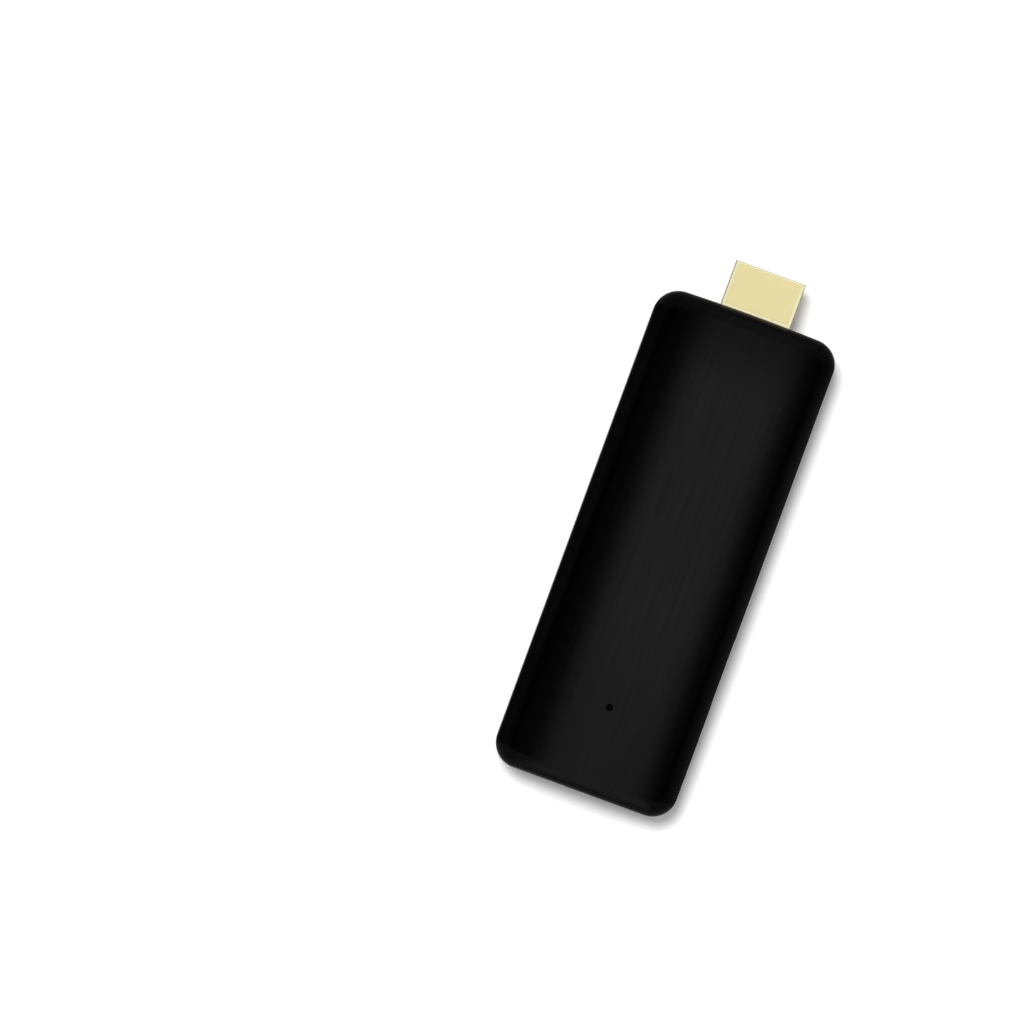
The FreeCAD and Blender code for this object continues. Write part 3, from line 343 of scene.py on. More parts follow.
@dataclass(frozen=True)
class BrushedPlastic(Finish):
    """Black plastic with a fine lengthwise brushed look, lacquered, as on the case."""

    dark: Colour = (0.0002, 0.0002, 0.00022)
    light: Colour = (0.0008, 0.0008, 0.00085)
    roughness: float = 0.15
    unevenness: Pair = (0.06, 0.03)
    specular: float = 0.09
    lacquer: float = 0.16
    lacquer_streaks: float = 0.1
    lacquer_roughness: float = 0.13
    # painted shade: over these spans the lacquer's weight is cut towards the tail and the front, so that the
    # ends reflect less
    tail_shade_span: Pair = (-10.0, -46.0)
    tail_painted_shade: float = 0.4
    front_shade_span: Pair = (30.0, 46.0)
    front_painted_shade: float = 0.95
    streak: float = 0.35
    broad_streak: float = 2.1
    streak_stretch: float = 0.02
    streak_contrast: Pair = (0.3, 0.7)
    streak_shares: Pair = (0.7, 0.3)
    speck: float = 0.12
    brush_depth: float = 0.0008
    brush_shares: Pair = (0.8, 0.2)

    def paint(self, bench: Bench) -> dict[str, Any]:
        """Streaks along Y shade the colour, the roughness and the lacquer, whose weight is cut towards both
        ends as painted shade, so that the ends reflect less.

        Args:
            bench: the material's bench.

        Returns:
            The surface shader's inputs by name.
        """
        along = bench.place((1.0, self.streak_stretch, 1.0))
        fine = bench.noise(along, self.streak, detail=4.0, rough=0.6)
        broad = bench.noise(along, self.broad_streak, detail=2.0)
        specks = bench.noise(bench.place(), self.speck, detail=2.0)
        (narrow, wide), (brushed, speckled), (rough, uneven) = (
            self.streak_shares, self.brush_shares, self.unevenness
        )
        streaks = narrow * fine.ramp(*self.streak_contrast) + wide * broad
        x, y, z = bench.split()
        # painted shade: less lacquer towards both ends, so that they reflect less
        painted_end_shade = self.tail_painted_shade * y.ramp(*self.tail_shade_span) + self.front_painted_shade * y.ramp(*self.front_shade_span)
        lacquer = self.lacquer + self.lacquer_streaks * (streaks - 0.5)
        return {
            "Base Color": bench.blend(streaks, self.dark, self.light),
            "Roughness": self.roughness + rough * (broad - 0.5) + uneven * (specks - 0.5),
            "Normal": bench.bump(brushed * fine + speckled * specks, self.brush_depth),
            "Specular IOR Level": self.specular,
            "Coat Weight": (lacquer * (1.0 - painted_end_shade)).larger(0.0),
            "Coat Roughness": self.lacquer_roughness,
        }


@dataclass(frozen=True)
class Parted(Grained):
    """A grained material with a second colour on a part of it, which can also be smoother, or metal."""

    second: Colour = EVEN
    smoother: float = 0.0
    bare_metal: bool = False

    def part(self, bench: Bench) -> Shade:
        """1 where the second colour lies and 0 elsewhere."""
        raise NotImplementedError

    def paint(self, bench: Bench) -> dict[str, Any]:
        """Lays the second colour over the grained one.

        Args:
            bench: the material's bench.

        Returns:
            The surface shader's inputs by name.
        """
        made, part = super().paint(bench), self.part(bench)
        made["Base Color"] = bench.blend(part, made["Base Color"], self.second)
        made["Roughness"] = made["Roughness"] - self.smoother * part
        if self.bare_metal:
            made["Metallic"] = part
        return made


@dataclass(frozen=True)
class PlugGold(Parted):
    """Pale satin gold plating with a painted highlight: a paler band along its long edges, at the case and at
    the tip.
    """

    half_width: float = 6.95
    # painted highlight: the widths over which the pale band fades in at the long edges, the root and the tip
    edge: Pair = (0.7, 0.5)
    root_highlight: Pair = (0.5, 0.25)
    tip_highlight: Pair = (0.5, 0.3)

    def part(self, bench: Bench) -> Shade:
        """The painted highlight: a narrow band along the two long edges, the root and the tip.

        Args:
            bench: the material's bench.

        Returns:
            1 in the band and 0 elsewhere.
        """
        x, y, z = bench.split()
        sides = (self.half_width - abs(x - STICK.plug_middle)).ramp(*self.edge)
        root, tip = (y - STICK.front).ramp(*self.root_highlight), (STICK.plug_tip - y).ramp(*self.tip_highlight)
        return sides.larger(root.larger(tip))


@dataclass(frozen=True)
class TinnedRow(Parted):
    """A row of ceramic parts along Y whose ends are tinned."""

    start: float = 34.0
    pitch: float = 2.8
    bare: float = 0.9

    def part(self, bench: Bench) -> Shade:
        """What is farther than half the bare length from each part's middle."""
        step = (bench.split()[1] - self.start) / self.pitch + 0.5
        return abs(step.fraction() - 0.5) > self.bare / 2 / self.pitch


@dataclass(frozen=True)
class LampChip(Parted):
    """A lamp chip: a white body below a yellowish clear top."""

    joint: float = 6.75

    def part(self, bench: Bench) -> Shade:
        """What is above the joint."""
        return bench.split()[2] > self.joint


@dataclass(frozen=True)
class CircuitBoard(Finish):
    """Dark green solder mask over copper tracks, with plated holes and a bare glass-fibre edge."""

    mask: Colour = (0.012, 0.04, 0.026)
    track: Colour = (0.02, 0.075, 0.045)
    plated: Colour = (0.75, 0.62, 0.3)
    fibre: Colour = (0.35, 0.33, 0.2)
    weave: float = 0.4
    weave_stretch: Triple = (1.0, 1.0, 4.0)
    weave_low: float = 0.6
    middle: float = 5.9
    half_edge: float = 0.485
    track_pitch: float = 0.8
    track_half: float = 0.2
    track_share: float = 0.5
    track_length: float = 4.0
    track_shift: float = 0.37
    track_height: float = 0.02
    hole_pitch: float = 1.7
    hole_radius: float = 0.2
    hole_share: float = 0.35
    cloud: float = 3.0
    cloud_share: float = 0.4
    cloud_light: float = 1.4
    roughness: float = 0.32
    cloud_rough: float = 0.1
    edge_rough: float = 0.35

    @staticmethod
    def kept(bench: Bench, first: Shade, second: Shade, share: float) -> Shade:
        """1 in the share of an even grid's cells that chance picks by their whole numbers, else 0."""
        cell = bench.add("ShaderNodeCombineXYZ", inputs={0: first.whole(), 1: second.whole()})
        return bench.add("ShaderNodeTexWhiteNoise", inputs={"Vector": cell}) > 1 - share

    def tracks(self, bench: Bench, across: Shade, along: Shade) -> Shade:
        """Straight tracks at an even pitch, kept or left out piece by piece at random.

        Args:
            bench: the material's bench.
            across: the coordinate square to the tracks.
            along: the coordinate along them.

        Returns:
            1 on a track, else 0.
        """
        lane = across / self.track_pitch
        near = abs(lane.fraction() - 0.5) < self.track_half
        piece = along / self.track_length + lane.whole() * self.track_shift
        return near * self.kept(bench, lane, piece, self.track_share)

    def holes(self, bench: Bench, x: Shade, y: Shade) -> Shade:
        """Round plated holes, one in every third cell or so of an even grid.

        Args:
            bench: the material's bench.
            x: the coordinate across the board.
            y: the coordinate along it.

        Returns:
            1 on a hole's rim, else 0.
        """
        across, along = x / self.hole_pitch, y / self.hole_pitch
        u, v = across.fraction() - 0.5, along.fraction() - 0.5
        near = ((u * u + v * v) ** 0.5) < self.hole_radius / self.hole_pitch
        return near * self.kept(bench, across, along, self.hole_share)

    def paint(self, bench: Bench) -> dict[str, Any]:
        """Tracks both ways and plated holes on the faces, fibre on the edge.

        Args:
            bench: the material's bench.

        Returns:
            The surface shader's inputs by name.
        """
        x, y, z = bench.split()
        track = self.tracks(bench, x, y).larger(self.tracks(bench, y, x))
        hole = self.holes(bench, x, y)
        edge = abs(z - self.middle) < self.half_edge
        cloud = bench.noise(bench.place(), self.cloud)
        green = bench.blend(self.cloud_share * cloud, self.mask, times(self.mask, self.cloud_light))
        green = bench.blend(track, green, self.track)
        weave = bench.noise(bench.place(self.weave_stretch), self.weave)
        fibre = bench.blend(weave, times(self.fibre, self.weave_low), self.fibre)
        return {
            "Base Color": bench.blend(edge, bench.blend(hole, green, self.plated), fibre),
            "Metallic": hole * (1.0 - edge),
            "Roughness": self.roughness + self.cloud_rough * (cloud - 0.5) + self.edge_rough * edge,
            "Normal": bench.bump(track, self.track_height),
        }


CASE_BLACK = BrushedPlastic("case_black")
GRAINED_BLACK = moulded("grained_black", (0.019, 0.019, 0.02), 0.5, size=0.18, depth=0.006, specular=0.35)
CONNECTOR_BLACK = moulded("connector_black", (0.02, 0.02, 0.021), 0.38, size=0.1, depth=0.003)
HOUSING_BLACK = moulded("housing_black", (0.025, 0.025, 0.026), 0.5, size=0.15, depth=0.005)
PLATING = rolled((1.0, 0.04, 1.0), share=0.4)
# the plug's gold plating; its second colour is the paler painted highlight along the plug's edges
PLUG_GOLD = PlugGold(
    "plug_plating", (0.93, 0.82, 0.435), 0.24, depth=0.0008, grains=PLATING,
    low=0.95, metallic=0.8, second=(0.98, 0.93, 0.63),
)
CONTACT_GOLD = sheet("contact_plating", (0.86, 0.66, 0.3), 0.2, size=0.2)
SOCKET_STEEL = sheet("socket_sheet", (0.62, 0.62, 0.61), 0.26, (0.04, 1.0, 1.0))
SPRING_STEEL = sheet("spring_wire", (0.58, 0.58, 0.6), 0.3, (0.1, 1.0, 1.0))
SCREW_STEEL = sheet("screw_metal", (0.5, 0.5, 0.5), 0.32)
SPREADER_METAL = sheet("spreader_sheet", (0.75, 0.76, 0.77), 0.36, (1.0, 0.03, 1.0))
CRYSTAL_CAN = sheet("crystal_can", (0.66, 0.65, 0.62), 0.3)
SAND = (
    Grain(0.07, detail=2.0, rough=0.7, tint=0.6, sway=0.0),
    Grain(4.0, tint=0.4, sway=0.0, height=0.0, stretch=(1.0, 0.4, 1.0)),
)
CHIP_BLACK = Grained(
    "chip_black", (0.02, 0.02, 0.021), 0.62, depth=0.008, grains=SAND, low=0.7, high=1.35, shine=0.2
)
FIRED = (Grain(0.3, sway=0.15),)
FERRITE = Grained("ferrite_body", (0.07, 0.07, 0.075), 0.5, depth=0.004, grains=FIRED, low=0.75)
CAPACITOR = TinnedRow(
    "capacitor_body", (0.42, 0.3, 0.2), 0.5, depth=0.004, grains=FIRED,
    low=0.75, second=(0.7, 0.69, 0.67), smoother=0.2, bare_metal=True,
)
ANTENNA = Grained("antenna_body", (0.85, 0.85, 0.82), 0.5, depth=0.004, grains=FIRED, low=0.75)
SILICONE = (Grain(0.15, rough=0.7, sway=0.15),)
PAD = Grained("pad_silicone", (0.45, 0.52, 0.6), 0.7, depth=0.01, grains=SILICONE)
PIPE_RESIN = clear_resin("pipe_resin", (0.0015, 0.0015, 0.0017), 0.5, specular=0.04)
WINDOW_RESIN = clear_resin("window_tint", (0.014, 0.002, 0.004), 0.05)
EYE_RESIN = clear_resin("receiver_resin", (0.012, 0.01, 0.012), 0.14)
FILM = (Grain(0.1, rough=0.7, height=0.15), Grain(4.0, detail=1.0, tint=0.0, sway=0.08, height=0.85))
LABEL = Grained("label_print", (0.045, 0.045, 0.048), 0.42, depth=0.02, grains=FILM, low=0.85, high=1.15)
LAMP = LampChip(
    "lamp_chip", (0.8, 0.8, 0.77), 0.5, depth=0.0, grains=(Grain(0.08),),
    low=0.9, second=(0.85, 0.7, 0.25), smoother=0.3,
)
BOARD = CircuitBoard("board_mask")


# Mesh building


@dataclass(frozen=True)
class Section:
    """A closed outline of points with the outward direction at each, walked counter-clockwise."""

    points: Array
    outward: Array

    def grown(self, by: float) -> Array:
        """Each point moved outwards by the same distance."""
        return self.points + by * self.outward


def turning(start: float, end: float, steps: int) -> Array:
    """Directions that turn evenly from one angle to just before another: cosine and sine."""
    angle = np.linspace(start, end, steps, endpoint=False)
    return np.stack([np.cos(angle), np.sin(angle)], 1)


def arc_radius(half: float, rise: float) -> float:
    """An arc's radius: half its width squared plus its rise squared, over twice the rise."""
    return (half**2 + rise**2) / (2 * rise)


def rounding(centre: Pair, radius: Pair, turn: Pair, steps: int) -> list[Pair]:
    """Stations on an arc: its centre plus its radius times the sine along and the cosine in growth."""
    angle = np.linspace(*turn, steps + 1)
    return list(zip(centre[0] + radius[0] * np.sin(angle), centre[1] + radius[1] * np.cos(angle)))


def polygon(corners: Sequence[Pair], radius: float, steps: int = 6, fill: float = math.inf) -> Section:
    """A convex polygon with rounded corners.

    The centre of a corner's arc lies inwards from the corner by the radius times the sum of the two
    sides' outward directions over one plus their product. The arc turns from one direction to the other.

    Args:
        corners: the corners, counter-clockwise.
        radius: the radius of every corner.
        steps: how many pieces each corner has.
        fill: about how long the pieces of a straight side are.

    Returns:
        The outline.
    """
    corner = np.array(corners, float)
    side = np.roll(corner, -1, 0) - corner
    side /= np.linalg.norm(side, axis=1)[:, None]
    after = np.stack([side[:, 1], -side[:, 0]], 1)
    before = np.roll(after, 1, 0)
    product = np.sum(before * after, 1)
    centre = corner - radius * (before + after) / (1 + product)[:, None]
    start = np.arctan2(before[:, 1], before[:, 0])
    turn = (np.arctan2(after[:, 1], after[:, 0]) - start) % (2 * np.pi)
    angle = start[:, None] + turn[:, None] * np.linspace(0, 1, steps + 1)[None]
    outward = np.stack([np.cos(angle), np.sin(angle)], 2)
    points = centre[:, None] + radius * outward
    rows, directions = [], []
    for arc, end, turned, square in zip(points, np.roll(points[:, 0], -1, 0), outward, after):
        count = max(1, round(float(np.linalg.norm(end - arc[-1])) / fill))
        share = np.linspace(0, 1, count + 1)[1:-1, None]
        rows += [arc, arc[-1] + share * (end - arc[-1])]
        directions += [turned, np.repeat(square[None], len(share), 0)]
    return Section(np.concatenate(rows), np.concatenate(directions))


def rectangle(centre: Pair, size: Pair, radius: float, steps: int = 5) -> Section:
    """A rectangle with rounded corners, each of a number of steps."""
    half = np.array(size) / 2
    return polygon(centre + half * [(-1, -1), (1, -1), (1, 1), (-1, 1)], radius, steps)


def tapered(middle: float, wide: float, narrow: float, top: float, knee: float, foot: float) -> list[Pair]:
    """Corners, counter-clockwise, of an outline that is straight down to a knee and drawn in below it."""
    left = [(middle - wide, top), (middle - wide, knee), (middle - narrow, foot)]
    return left + [(2 * middle - across, height) for across, height in left[::-1]]


def circle(centre: Pair, steps: int = 40) -> Section:
    """A point with directions all round, so that its grown outline is a circle."""
    outward = turning(0, 2 * np.pi, steps)
    return Section(np.zeros_like(outward) + centre, outward)


def link(name: str, data: bpy.types.ID) -> Piece:
    """Adds a new object to the scene, at the origin.

    Args:
        name: its name.
        data: its mesh, light or camera.

    Returns:
        The object.
    """
    made = bpy.data.objects.new(name, data)
    bpy.context.scene.collection.objects.link(made)
    return made


def skin(name: str, rows: Array, ends: Ends = Ends.CAPPED) -> Piece:
    """A closed mesh through rows of points, each of which closes on itself.

    Doubles are merged, faces turned outwards, and everything below the sharp angle shaded smoothly.

    Args:
        name: the piece's name.
        rows: the points in millimetres, by row, place in the row and axis.
        ends: what closes it at its ends.

    Returns:
        The piece, at the origin.
    """
    count, width = rows.shape[:2]
    number = np.arange(count * width).reshape(count, width)
    if ends is Ends.JOINED:
        number = np.concatenate([number, number[:1]])
    beside = np.roll(number, -1, 1)
    corners = [number[:-1], beside[:-1], beside[1:], number[1:]]
    faces = np.stack(corners, -1).reshape(-1, 4).tolist()
    if ends is Ends.CAPPED:
        faces += number[[0, -1]].tolist()
    mesh = bpy.data.meshes.new(name)
    mesh.from_pydata(rows.reshape(-1, 3) * MM, [], faces)
    work = bmesh.new()
    work.from_mesh(mesh)
    bmesh.ops.remove_doubles(work, verts=work.verts, dist=WELD_DISTANCE)
    bmesh.ops.dissolve_degenerate(work, edges=work.edges, dist=WELD_DISTANCE)
    bmesh.ops.recalc_face_normals(work, faces=work.faces)
    work.to_mesh(mesh)
    work.free()
    smooth(mesh)
    return link(name, mesh)


def smooth(mesh: bpy.types.Mesh) -> None:
    """Shades a mesh smoothly, with edges above the sharp angle kept sharp.

    Args:
        mesh: the mesh.
    """
    mesh.polygons.foreach_set("use_smooth", np.ones(len(mesh.polygons), bool))
    mesh.set_sharp_from_angle(angle=SHARP_ANGLE)
    mesh.update()


def sweep(
    name: str, section: Section, stations: Sequence[Pair], axis: Axis = Axis.Z, ends: Ends = Ends.CAPPED
) -> Piece:
    """Carries a section along an axis: each row is the section grown by its station's amount.

    Args:
        name: the piece's name.
        section: the outline.
        stations: a place along the axis and a growth for each row.
        axis: the axis.
        ends: what closes it at its ends.

    Returns:
        The piece.
    """
    rows = np.zeros((len(stations), len(section.points), 3))
    for row, (along, growth) in zip(rows, stations):
        row[:, axis.value[:2]] = section.grown(growth)
        row[:, axis.value[2]] = along
    return skin(name, rows, ends)


def slab(first: Triple, second: Triple) -> Piece:
    """A plain block for cutting or for ribs.

    Args:
        first: one corner.
        second: the opposite corner.

    Returns:
        The block.
    """
    (left, near, low), (right, far, high) = np.sort([first, second], axis=0)
    corners = np.array([(left, near), (right, near), (right, far), (left, far)])
    return sweep("block", Section(corners, 0 * corners), [(low, 0.0), (high, 0.0)])


def join_all(piece: Piece, others: Solids, cut: Cut) -> None:
    """Adds or removes solids by Booleans, and throws the solids away.

    Args:
        piece: the piece that changes.
        others: the solids, one Boolean each.
        cut: whether they are added or removed.
    """
    for other in others:
        step = piece.modifiers.new(other.name, "BOOLEAN")
        step.operation = cut.value
        step.solver = "MANIFOLD"
        step.object = other
    bpy.context.view_layer.update()
    graph = bpy.context.evaluated_depsgraph_get()
    mesh = bpy.data.meshes.new_from_object(piece.evaluated_get(graph))
    piece.modifiers.clear()
    used = [piece.data] + [other.data for other in others]
    piece.data = mesh
    for other in others:
        bpy.data.objects.remove(other)
    for old in used:
        bpy.data.meshes.remove(old)
    mesh.name = piece.name
    smooth(mesh)


def finish_piece(piece: Piece, finish: Finish, replaced: str) -> None:
    """Gives a new piece its finish and its place in the frame.

    Args:
        piece: the piece.
        finish: its finish.
        replaced: the CAD node that it stands for.
    """
    piece.data.materials.clear()
    piece.data.materials.append(finish.material())
    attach(piece, BODY)
    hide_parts(replaced)
    log.info("piece %s: %d faces", piece.name, len(piece.data.polygons))


@cache
def fairing() -> bpy.types.GeometryNodeTree:
    """The modifier group for CAD nodes, which come as loose triangles.

    It merges their points, shades every face smoothly, and keeps edges above the sharp angle sharp.

    Returns:
        The group.
    """
    tree = bpy.data.node_groups.new("fairing", "GeometryNodeTree")
    for way in ("INPUT", "OUTPUT"):
        tree.interface.new_socket("Geometry", in_out=way, socket_type="NodeSocketGeometry")
    bench = Bench(tree)
    mesh = bench.add("NodeGroupInput")
    mesh = bench.add("GeometryNodeMergeByDistance", inputs={0: mesh, "Distance": WELD_DISTANCE})
    mesh = bench.add("GeometryNodeSetShadeSmooth", inputs={0: mesh})
    angle = bench.add("GeometryNodeInputMeshEdgeAngle")
    above = bench.add("FunctionNodeCompare", inputs={0: angle, 1: SHARP_ANGLE})
    sharp = {0: mesh, "Selection": above, "Shade Smooth": False}
    mesh = bench.add("GeometryNodeSetShadeSmooth", {"domain": "EDGE"}, sharp)
    bench.add("NodeGroupOutput", inputs={0: mesh})
    return tree


def dress(finish: Finish, *names: str) -> None:
    """Gives CAD nodes a finish and smooth shading.

    Args:
        finish: the finish.
        names: the nodes.
    """
    for name in names:
        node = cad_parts[name]
        if not node.material_slots:
            node.data.materials.append(None)
        for place in node.material_slots:
            place.material = finish.material()
        node.modifiers.new("fairing", "NODES").node_group = fairing()
        log.info("node %s: %s", name, finish.name)


# The case


@dataclass(frozen=True)
class CaseOutline:
    """The case's outline in plan: straight sides and tail, rounded corners and a slightly bowed front."""

    corner_radius: float = 4.9
    front_bow: float = 0.35
    side_steps: int = 110
    end_steps: int = 44
    corner_steps: int = 18

    def section(self) -> Section:
        """Walks once round, counter-clockwise from the tail's left end.

        The front and its corners meet where both have the same direction: the corners' centres lie on
        the front's circle with the corners' radius less.

        Returns:
            The outline.
        """
        side, front, radius = STICK.side, STICK.front, self.corner_radius
        bow_radius = arc_radius(side, self.front_bow)
        bow_y = front - bow_radius
        x, tail_y = side - radius, radius - front
        front_y = bow_y + math.sqrt((bow_radius - radius) ** 2 - x**2)
        turn, half = math.atan2(front_y - bow_y, x), math.pi
        parts = [
            self.run((-x, -front), (x, -front), self.end_steps),
            self.arc((x, tail_y), radius, -RIGHT_ANGLE, 0.0, self.corner_steps),
            self.run((side, tail_y), (side, front_y), self.side_steps),
            self.arc((x, front_y), radius, 0.0, turn, self.corner_steps),
            self.arc((0.0, bow_y), bow_radius, turn, half - turn, self.end_steps),
            self.arc((-x, front_y), radius, half - turn, half, self.corner_steps),
            self.run((-side, front_y), (-side, tail_y), self.side_steps),
            self.arc((-x, tail_y), radius, half, half + RIGHT_ANGLE, self.corner_steps),
        ]
        return Section(*(np.concatenate(p) for p in zip(*parts)))

    @staticmethod
    def run(start: Pair, end: Pair, steps: int) -> tuple[Array, Array]:
        """Points and directions of a straight part, evenly divided, without its last point.

        Args:
            start: its first point.
            end: its last point.
            steps: how many pieces it has.

        Returns:
            The points and the directions.
        """
        share = np.linspace(0, 1, steps, endpoint=False)[:, None]
        along = np.array(end) - start
        outward = np.array([along[1], -along[0]]) / np.linalg.norm(along)
        return start + share * along, np.repeat(outward[None], steps, 0)

    @staticmethod
    def arc(centre: Pair, radius: float, start: float, end: float, steps: int) -> tuple[Array, Array]:
        """Points and directions of an arc without its last point: its centre plus its radius times each."""
        outward = turning(start, end, steps)
        return centre + radius * outward, outward


@dataclass
class Case:
    """The two covers, drawn as fine closed shells, with every opening cut through their walls."""

    outline: CaseOutline = CaseOutline()
    crown_rise: float = 1.6
    top_radius: float = 3.6
    bottom_radius: float = 2.0
    lip: float = 0.7
    lip_height: float = 1.1
    lip_gap: float = 0.1
    seam_break: float = 0.14
    seam_steps: int = 4
    crown_steps: int = 22
    round_steps: int = 16

    def spread(self, rim: Array, steps: int) -> Array:
        """Rows from the case's middle line out to a rim, in plan.

        A rim point's partner on the middle line has its y, held so far from the ends as the case is
        half wide. A point is the partner plus a share of the way to the rim point.

        Args:
            rim: the rim's points in plan.
            steps: how many rows there are without the rim itself.

        Returns:
            The rows.
        """
        reach = STICK.front - STICK.side
        middle = np.column_stack([0 * rim[:, 0], np.clip(rim[:, 1], -reach, reach)])
        share = np.linspace(0, 1, steps, endpoint=False)[:, None, None]
        return middle + share * (rim - middle)

    def dome(self, section: Section, inset: float) -> Array:
        """Rows from the crown's middle line down through the rounding to the wall.

        A ball rolls inside the crown and the wall. Its centre lies on the outline drawn in by the ball's
        radius, and on the crown's circle with that radius less. The rounding's points are the centre plus
        the radius times a direction that turns evenly from the crown's to the wall's.

        Args:
            section: the case's outline.
            inset: how far the surface lies inside the case's outer one.

        Returns:
            The rows.
        """
        crown_radius = arc_radius(STICK.side, self.crown_rise)
        inner = crown_radius - self.top_radius
        low = STICK.top - crown_radius
        plan = section.grown(-self.top_radius)
        centre = np.column_stack([plan, low + np.sqrt(inner**2 - plan[:, 0] ** 2)])
        zero = np.zeros(len(plan))
        crown = np.column_stack([plan[:, 0], zero, centre[:, 2] - low]) / inner
        wall = np.column_stack([section.outward, zero])
        angle = np.arccos(np.clip(np.sum(crown * wall, 1), -1, 1))[:, None]
        share = np.linspace(0, 1, self.round_steps + 1)[:, None, None]
        turned = (np.sin((1 - share) * angle) * crown + np.sin(share * angle) * wall) / np.sin(angle)
        rounded = centre + (self.top_radius - inset) * turned
        flat = self.spread(rounded[0, :, :2], self.crown_steps)
        height = low + np.sqrt((crown_radius - inset) ** 2 - flat[..., 0] ** 2)
        return np.concatenate([np.dstack([flat, height]), rounded])

    @staticmethod
    def levels(section: Section, stations: Sequence[Pair]) -> Array:
        """Level rows of the outline, one for each height and growth."""
        return np.stack([np.insert(section.grown(growth), 2, height, 1) for height, growth in stations])

    def tray(self, section: Section, inset: float) -> Array:
        """Rows from the floor's middle line out and up through its rounding.

        Args:
            section: the case's outline.
            inset: how far the surface lies inside the case's outer one.

        Returns:
            The rows.
        """
        radius = self.bottom_radius - inset
        centre = (inset + radius, -inset - radius)
        stations = rounding(centre, (-radius, radius), (RIGHT_ANGLE, 0), self.round_steps)
        rounded = self.levels(section, stations)
        flat = self.spread(rounded[0, :, :2], self.crown_steps // 2)
        return np.concatenate([np.insert(flat, 2, inset, 2), rounded])

    def shell(self, name: str, cover: Cover) -> Piece:
        """A cover's closed shell: its outside, its rim at the seam and its inside.

        The upper cover's inner half reaches below the seam as a lip. The lower one's stays as far
        below the seam, and a gap more.

        Args:
            name: the piece's name.
            cover: the cover.

        Returns:
            The shell before anything is cut.
        """
        section, seam, wall = self.outline.section(), STICK.seam, STICK.wall
        gap = 0.0 if cover is Cover.UPPER else self.lip_gap
        step, foot = self.lip + gap - wall, seam - self.lip_height - gap
        small = cover.value * self.seam_break
        edge = rounding(
            (seam + small, -self.seam_break), (-small, self.seam_break), (0, RIGHT_ANGLE), self.seam_steps
        )
        rim = [*edge, (seam, step), (foot, step), (foot, -wall)]
        surface = self.tray
        if cover is Cover.UPPER:
            rim.append((seam, -wall))
            surface = self.dome
        rows = [surface(section, 0.0), self.levels(section, rim), surface(section, wall)[::-1]]
        return skin(name, np.concatenate(rows), Ends.FOLDED)

    def build(self, openings: "Openings") -> None:
        """Builds both covers with their ribs, bosses, snaps and openings.

        Args:
            openings: what is cut through the walls.
        """
        upper = self.shell("upper_case", Cover.UPPER)
        join_all(upper, openings.upper_ribs(), Cut.ADD)
        join_all(upper, openings.upper_cuts(), Cut.REMOVE)
        finish_piece(upper, CASE_BLACK, "top_cover")
        lower = self.shell("lower_case", Cover.LOWER)
        join_all(lower, openings.lower_ribs(), Cut.ADD)
        join_all(lower, openings.lower_cuts(), Cut.REMOVE)
        finish_piece(lower, GRAINED_BLACK, "bottom_cover")


class Face(Enum):
    """A face of the case: its axis, which way along it the face looks, and its place."""

    RIGHT = (Axis.X, 1, STICK.side)
    LEFT = (Axis.X, -1, -STICK.side)
    FRONT = (Axis.Y, 1, STICK.front)
    TAIL = (Axis.Y, -1, -STICK.front)
    TOP = (Axis.Z, 1, STICK.top)
    UNDER = (Axis.Z, -1, 0.0)


@dataclass(frozen=True)
class Hole:
    """A hole into a face. A round one's section is a point, and its gap its radius.

    Its mouth says where it starts to widen inside, where it ends outside, and how much wider it is there.
    """

    face: Face
    section: Section
    depth: float
    gap: float = 0.0
    mouth: Triple = (0.22, 0.22, 0.44)

    def cutter(self) -> Piece:
        """The section, larger by the gap, carried out through the face and widened at the mouth.

        Returns:
            The solid to cut with.
        """
        (axis, sign, place), (inside, outside, wider) = self.face.value, self.mouth
        stations = ((-self.depth, self.gap), (-inside, self.gap), (outside, self.gap + wider))
        return sweep("cutter", self.section, [(place + sign * out, by) for out, by in stations], axis)


